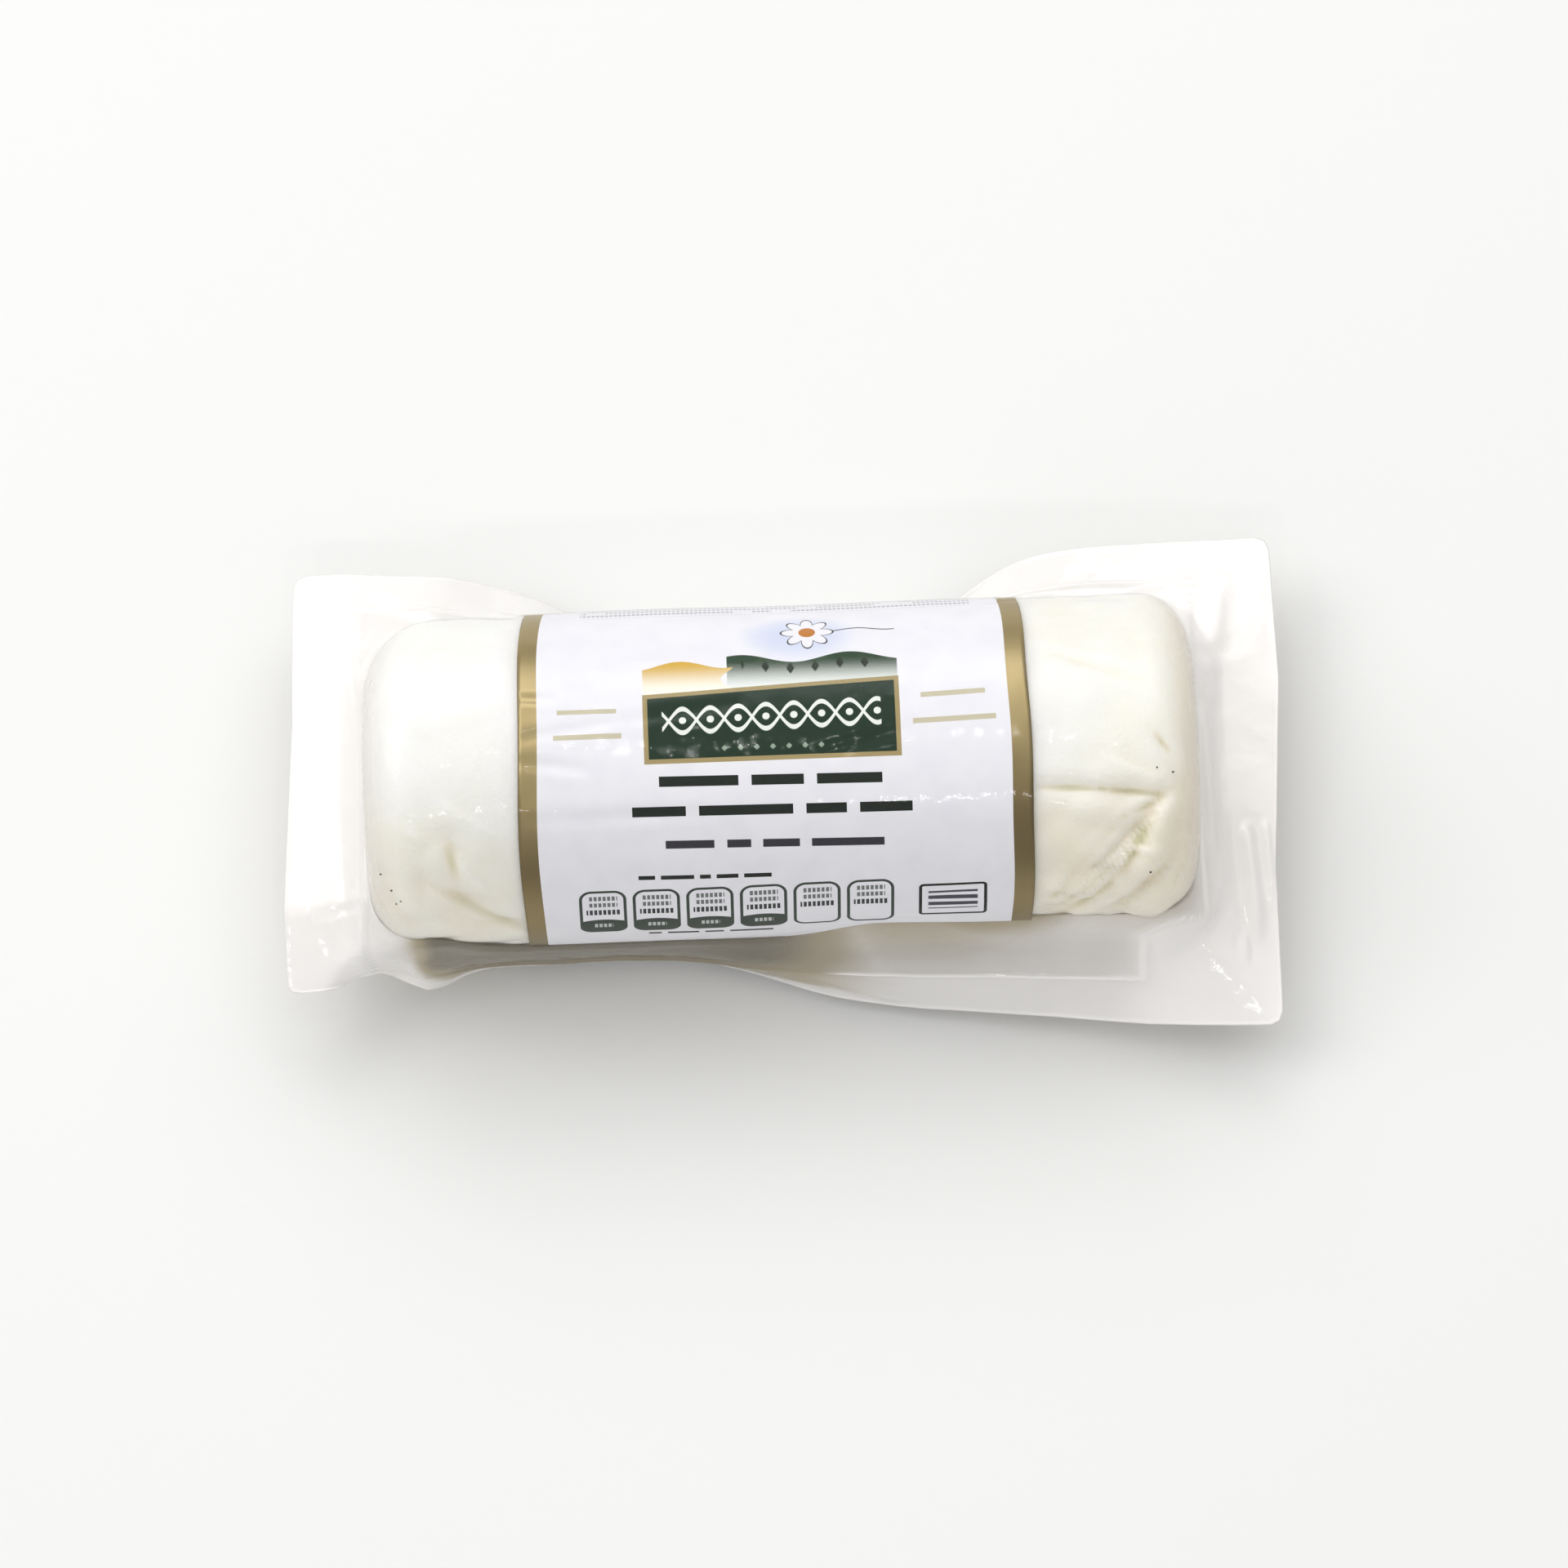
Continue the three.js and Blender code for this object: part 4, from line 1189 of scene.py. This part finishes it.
def film_flange():
    """Both faces of the flange. The upper film leaves the log higher up than the lower one."""
    share = np.linspace(0, 1, ACROSS_STEPS + 1)[None, :, None]
    flat = stations[:, None, :2] + share * (stations[:, None, 2:4] - stations[:, None, :2])
    x, flat_y = flat[..., 0], flat[..., 1]
    from_mouth = np.hypot(x - stations[:, None, 0], flat_y - stations[:, None, 1])
    to_edge = from_mouth[:, -1:] - from_mouth
    middle = settled(fold_film(x, flat_y), x, flat_y, from_mouth)
    normal = grid_normals(middle)
    relief = flange_relief(x, flat_y, from_mouth)
    half = FILM_HALF_THICKNESS + RIM_BEAD * np.exp(-((to_edge / 0.35) ** 2))
    faces = []
    for sign, lift, reach in ((-1, -0.6, UNDER_REACH), (1, FILLET_LIFT, FILLET_REACH)):
        face = middle + normal * (relief + sign * half)[..., None]
        pulled = mouth_place(lift) - face[:, 0]
        fade = np.clip(1 - from_mouth / reach, 0, 1)[..., None] ** 2.2
        face = face + pulled[:, None, :] * fade
        face[..., 2] = np.maximum(face[..., 2], 0.05)
        faces.append(face.reshape(-1, 3))
    piece_faces = two_faces(*x.shape)
    piece = build_piece("film_flange", np.vstack(faces), piece_faces.tolist(), "film", film_material)
    weld_blur = 0.6 + 2.5 * ease(43.0, 49.0, x)
    weld = ease(-1.0, 1.0, weld_distance(x, flat_y) / weld_blur)
    front = ease(8.0, -2.0, flat_y)
    slant = 0.5 * np.clip(flat_y + 30, -4, 4)
    ragged = x + slant + 1.5 * unevenness(np.stack([x, flat_y, 0 * x], axis=-1), 321, 3, 8)
    # Painted shade: on the shown side the web under the log is tinted dark olive, as if in the log's shadow, lighter
    # towards the edge
    under = front * ease(-54.0, -46.0, ragged) * (1 - ease(-8.0, 22.0, x)) * ease(0.8, 2.6, to_edge)
    milky = 0.62 + 0.15 * weld + 0.1 * under + 0.22 * ease(44.0, 54.0, np.abs(x))
    closed = np.maximum(ease(34.0, 40.0, np.abs(x)), front * ease(-2.0, 12.0, x))
    near = 0.75 + 0.65 * closed - 0.4 * ease(48.0, 54.0, np.abs(x))
    haze = milky * (near + (1 - near) * np.maximum(under, ease(0.0, 4.0, from_mouth)))
    # The weld line is made whiter, partly the weld's own milkiness and partly a painted highlight; the whiter rim
    # along the cut edge is a painted highlight
    line = front * ease(4.0, 10.0, x) * np.exp(-((weld_distance(x, flat_y) / 0.26) ** 2))
    haze = np.minimum(1, haze + 0.25 * np.exp(-((to_edge / 0.4) ** 2)) + 0.4 * line)
    store(piece, "haze", np.append(CLEAR_UNDERSIDE * haze.ravel(), haze.ravel()))
    store(piece, "mirror", np.full(2 * haze.size, FLANGE_MIRROR))
    # The web beside the log is tinted by whey, and by painted shade near the right end; the spot right of the middle
    # on the shown side is a painted shadow
    right = front * ease(-4.0, 16.0, x) * (1 - 0.7 * ease(20.0, 44.0, x))
    right_end = 0.1 * ease(40.0, 52.0, x)
    beside = np.exp(-from_mouth / (2.0 + 5.0 * right)) * (1 - 0.8 * weld) * (0.1 + right_end + 0.4 * right)
    painted_shadow_spot = 0.8 * front * np.exp(-(((x - 28.0) / 12.0) ** 2) - from_mouth / 1.9)
    beside = np.maximum(np.maximum(beside, painted_shadow_spot), under * (1 - 0.35 * ease(3.0, 10.0, from_mouth)))
    store(piece, "whey", np.tile((beside * (1 - line)).ravel(), 2))
    return piece


flange = film_flange()
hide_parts("pouch_film")

# %% [markdown]
# ## Specks
# A few dark specks cling to the pack. They are small flattened beads, joined into one mesh.

# %% Specks
# (x from the log's middle, angle, radius in millimetres)
SPECKS_ON_SKIN = [
    (-55.4, 55.4, 0.16), (-54.0, 61.3, 0.2), (-52.8, 64.1, 0.13), (-53.5, 67.3, 0.14),
    (51.1, 23.2, 0.14), (53.3, 25.1, 0.17), (50.0, 59.7, 0.18), (39.4, 106.0, 0.22), (41.4, 107.0, 0.15),
]
# (x from the log's middle, y, radius)
SPECKS_ON_PANEL = [(-59.9, -8.0, 0.17), (-61.1, -12.4, 0.17)]


def bead(middle, outward, radius):
    """A ball by latitude and longitude, squeezed to 0.45 of its height along the outward direction."""
    latitude = np.linspace(-math.pi / 2, math.pi / 2, 7)[1:-1]
    longitude = np.linspace(0, 2 * math.pi, 10, endpoint=False)[:, None]
    shape = np.broadcast_arrays(
        np.cos(latitude) * np.cos(longitude), np.cos(latitude) * np.sin(longitude), np.sin(latitude) + 0 * longitude
    )
    outward = outward / np.linalg.norm(outward)
    first = np.cross(outward, [0.3, 0.5, 0.8])
    first /= np.linalg.norm(first)
    second = np.cross(outward, first)
    frame_axes = np.array([first, second, 0.45 * outward])
    rows = np.stack(shape, axis=-1) @ frame_axes
    poles = np.array([-0.45 * outward, 0.45 * outward])
    return middle + radius * np.vstack([rows.reshape(-1, 3), poles])


def bead_faces(rows=10, columns=5):
    """Faces of one bead: the grid, and a fan at each pole."""
    here = np.arange(rows) * columns
    ahead = np.roll(here, -1)
    low, high = rows * columns, rows * columns + 1
    faces = grid_faces(rows, columns, wrap=True).tolist()
    faces += np.stack([np.full(rows, low), ahead, here], axis=-1).tolist()
    return faces + np.stack([np.full(rows, high), here + columns - 1, ahead + columns - 1], axis=-1).tolist()


def speck_finish():
    """Dark olive, a little lighter in places."""
    speck = Finish("speck")
    colour = speck.blend(speck.noise(4000, 1).eased(0.3, 0.7), rgb(52, 46, 34), rgb(104, 96, 74))
    return speck.finish(speck.add("BsdfPrincipled", {}, {"Base Color": colour, "Roughness": 0.6}))


def specks():
    """All beads in one mesh, each sitting on the film."""
    places = []
    for x, angle, radius in SPECKS_ON_SKIN:
        a = angle * DEGREES
        row = np.abs(X[:, 0] - x).argmin()
        column = np.abs(ANGLE[0] - a).argmin()
        out = np.array([0.0, -math.sin(a), math.cos(a)])
        spot = RADIUS[row, column] + film_height[row, column] + 0.05
        places.append((np.array([x + LOG_MIDDLE, 0, AXIS_HEIGHT]) + out * spot, out, radius))
    for x, y, radius in SPECKS_ON_PANEL:
        at = np.array([x]), np.array([y])
        out = surface_normals(*at)[0]
        places.append((fold_film(*at)[0] + out * (FILM_HALF_THICKNESS + 0.2), out, radius))
    points = np.vstack([bead(*place) for place in places])
    one = bead_faces()
    count = len(points) // len(places)
    faces = [[corner + k * count for corner in face] for k in range(len(places)) for face in one]
    return build_piece("specks", points, faces, "cheese", speck_finish())


specks()

# %% [markdown]
# ## Light, floor and camera
# A wide softbox hangs over the pack and a little behind it, so the shadow falls softly towards the
# viewer and the film mirrors one broad bright field, whose front edge draws the line where the
# band turns from bright to grey. The floor is plain and almost white.


# %% Floor
def floor_finish():
    """Near white, with a trace of unevenness."""
    floor_paint = Finish("plain_floor")
    tone = floor_paint.blend(floor_paint.noise(3, 1), (0.86, 0.86, 0.845, 1), (0.865, 0.865, 0.85, 1))
    return floor_paint.finish(floor_paint.add("BsdfPrincipled", {}, {"Base Color": tone, "Roughness": 0.9}))


FLOOR_HALF = 3.0
FLOOR_DROP = 0.00005
floor_mesh = bpy.data.meshes.new("floor")
floor_corners = [(-1, -1), (1, -1), (1, 1), (-1, 1)]
floor_mesh.from_pydata([(x * FLOOR_HALF, y * FLOOR_HALF, -FLOOR_DROP) for x, y in floor_corners], [], [(0, 1, 2, 3)])
floor_mesh.materials.append(floor_finish())
floor = bpy.data.objects.new("floor", floor_mesh)
bpy.context.scene.collection.objects.link(floor)


# %% Lights
def softbox(name, location, target, size, watts, colour=(1, 1, 1)):
    """A flat rectangular light that faces its target."""
    light = bpy.data.lights.new(name, "AREA")
    light.shape = "RECTANGLE"
    light.size, light.size_y = size
    light.energy = watts
    light.color = colour
    lamp = bpy.data.objects.new(name, light)
    away = np.array(location, dtype=float) - np.array(target, dtype=float)
    lamp.rotation_mode = "QUATERNION"
    lamp.rotation_quaternion = look_along(away)
    lamp.location = location
    bpy.context.scene.collection.objects.link(lamp)
    return lamp


def look_along(back):
    """The turn that points local Z along back, and so a lamp's or camera's view the other way."""
    from mathutils import Vector
    return Vector(back).to_track_quat("Z", "Y")


softbox("overhead", (0.0, 0.2, 1.0), (0, 0.1, 0), (1.9, 1.6), 4.2)
softbox("overhead_back", (0.0, 1.0, 1.2), (0, 0, 0.02), (1.6, 0.8), 3.6)
softbox("front_low", (0.0, -1.8, 0.8), (0, 0, 0.02), (4.0, 1.6), 7.8)
softbox("key_left", (-1.3, 0.3, 1.4), (0, 0, 0.02), (1.0, 1.0), 7.9)
softbox("key_back_left", (-0.8, 0.72, 1.6), (0, 0, 0.02), (1.0, 1.0), 3.2)
softbox("key_back", (-0.2, 1.5, 1.4), (0, 0, 0.02), (1.2, 1.0), 7.0)
softbox("key_back_right", (0.8, 0.9, 1.5), (0, 0, 0.02), (1.0, 1.0), 2.4)
# Small lights in front, for the glints
softbox("spark_right", (0.15, -1.15, 1.45), (0, 0, 0.02), (0.06, 0.06), 0.8)
softbox("spark_middle", (-0.3, -1.15, 1.44), (0, 0, 0.02), (0.16, 0.05), 1.0)
softbox("spark_left", (-0.9, -0.57, 1.6), (0, 0, 0.02), (0.07, 0.07), 0.3)
softbox("spark_above", (0.03, 0.02, 1.9), (0, 0, 0.02), (0.06, 0.06), 0.5)

world = bpy.data.worlds.new("studio")
world.use_nodes = True
world.node_tree.nodes["Background"].inputs["Color"].default_value = (1.0, 1.0, 1.0, 1.0)
world.node_tree.nodes["Background"].inputs["Strength"].default_value = 0.32
bpy.context.scene.world = world
bpy.context.scene.view_settings.view_transform = "Standard"

# %% Camera
# The photograph looks down steeply from the front, a little from the left
CAMERA_ELEVATION = 70 * DEGREES
CAMERA_AZIMUTH = -2.2 * DEGREES
CAMERA_DISTANCE = 0.9
SEEN_WIDTH = 0.2191
AIM_RIGHT = 0.00057
AIM_DOWN = 0.00171

sine, cosine = math.sin(CAMERA_AZIMUTH), math.cos(CAMERA_AZIMUTH)
back = np.array([
    sine * math.cos(CAMERA_ELEVATION), -cosine * math.cos(CAMERA_ELEVATION), math.sin(CAMERA_ELEVATION)
])
right = np.array([cosine, sine, 0.0])
up = np.cross(back, right)
aim = np.array([LOG_MIDDLE, 0.0, AXIS_HEIGHT]) * METRES + AIM_RIGHT * right - AIM_DOWN * up

lens = bpy.data.cameras.new("camera")
lens.sensor_width = 36.0
lens.lens = lens.sensor_width * CAMERA_DISTANCE / SEEN_WIDTH
lens.clip_end = 20.0
camera = bpy.data.objects.new("camera", lens)
camera.rotation_mode = "QUATERNION"
camera.rotation_quaternion = look_along(back)
camera.location = aim + CAMERA_DISTANCE * back
bpy.context.scene.collection.objects.link(camera)
bpy.context.scene.camera = camera
print(f"lens {lens.lens:.1f} mm, camera at {np.round(camera.location, 3)}")
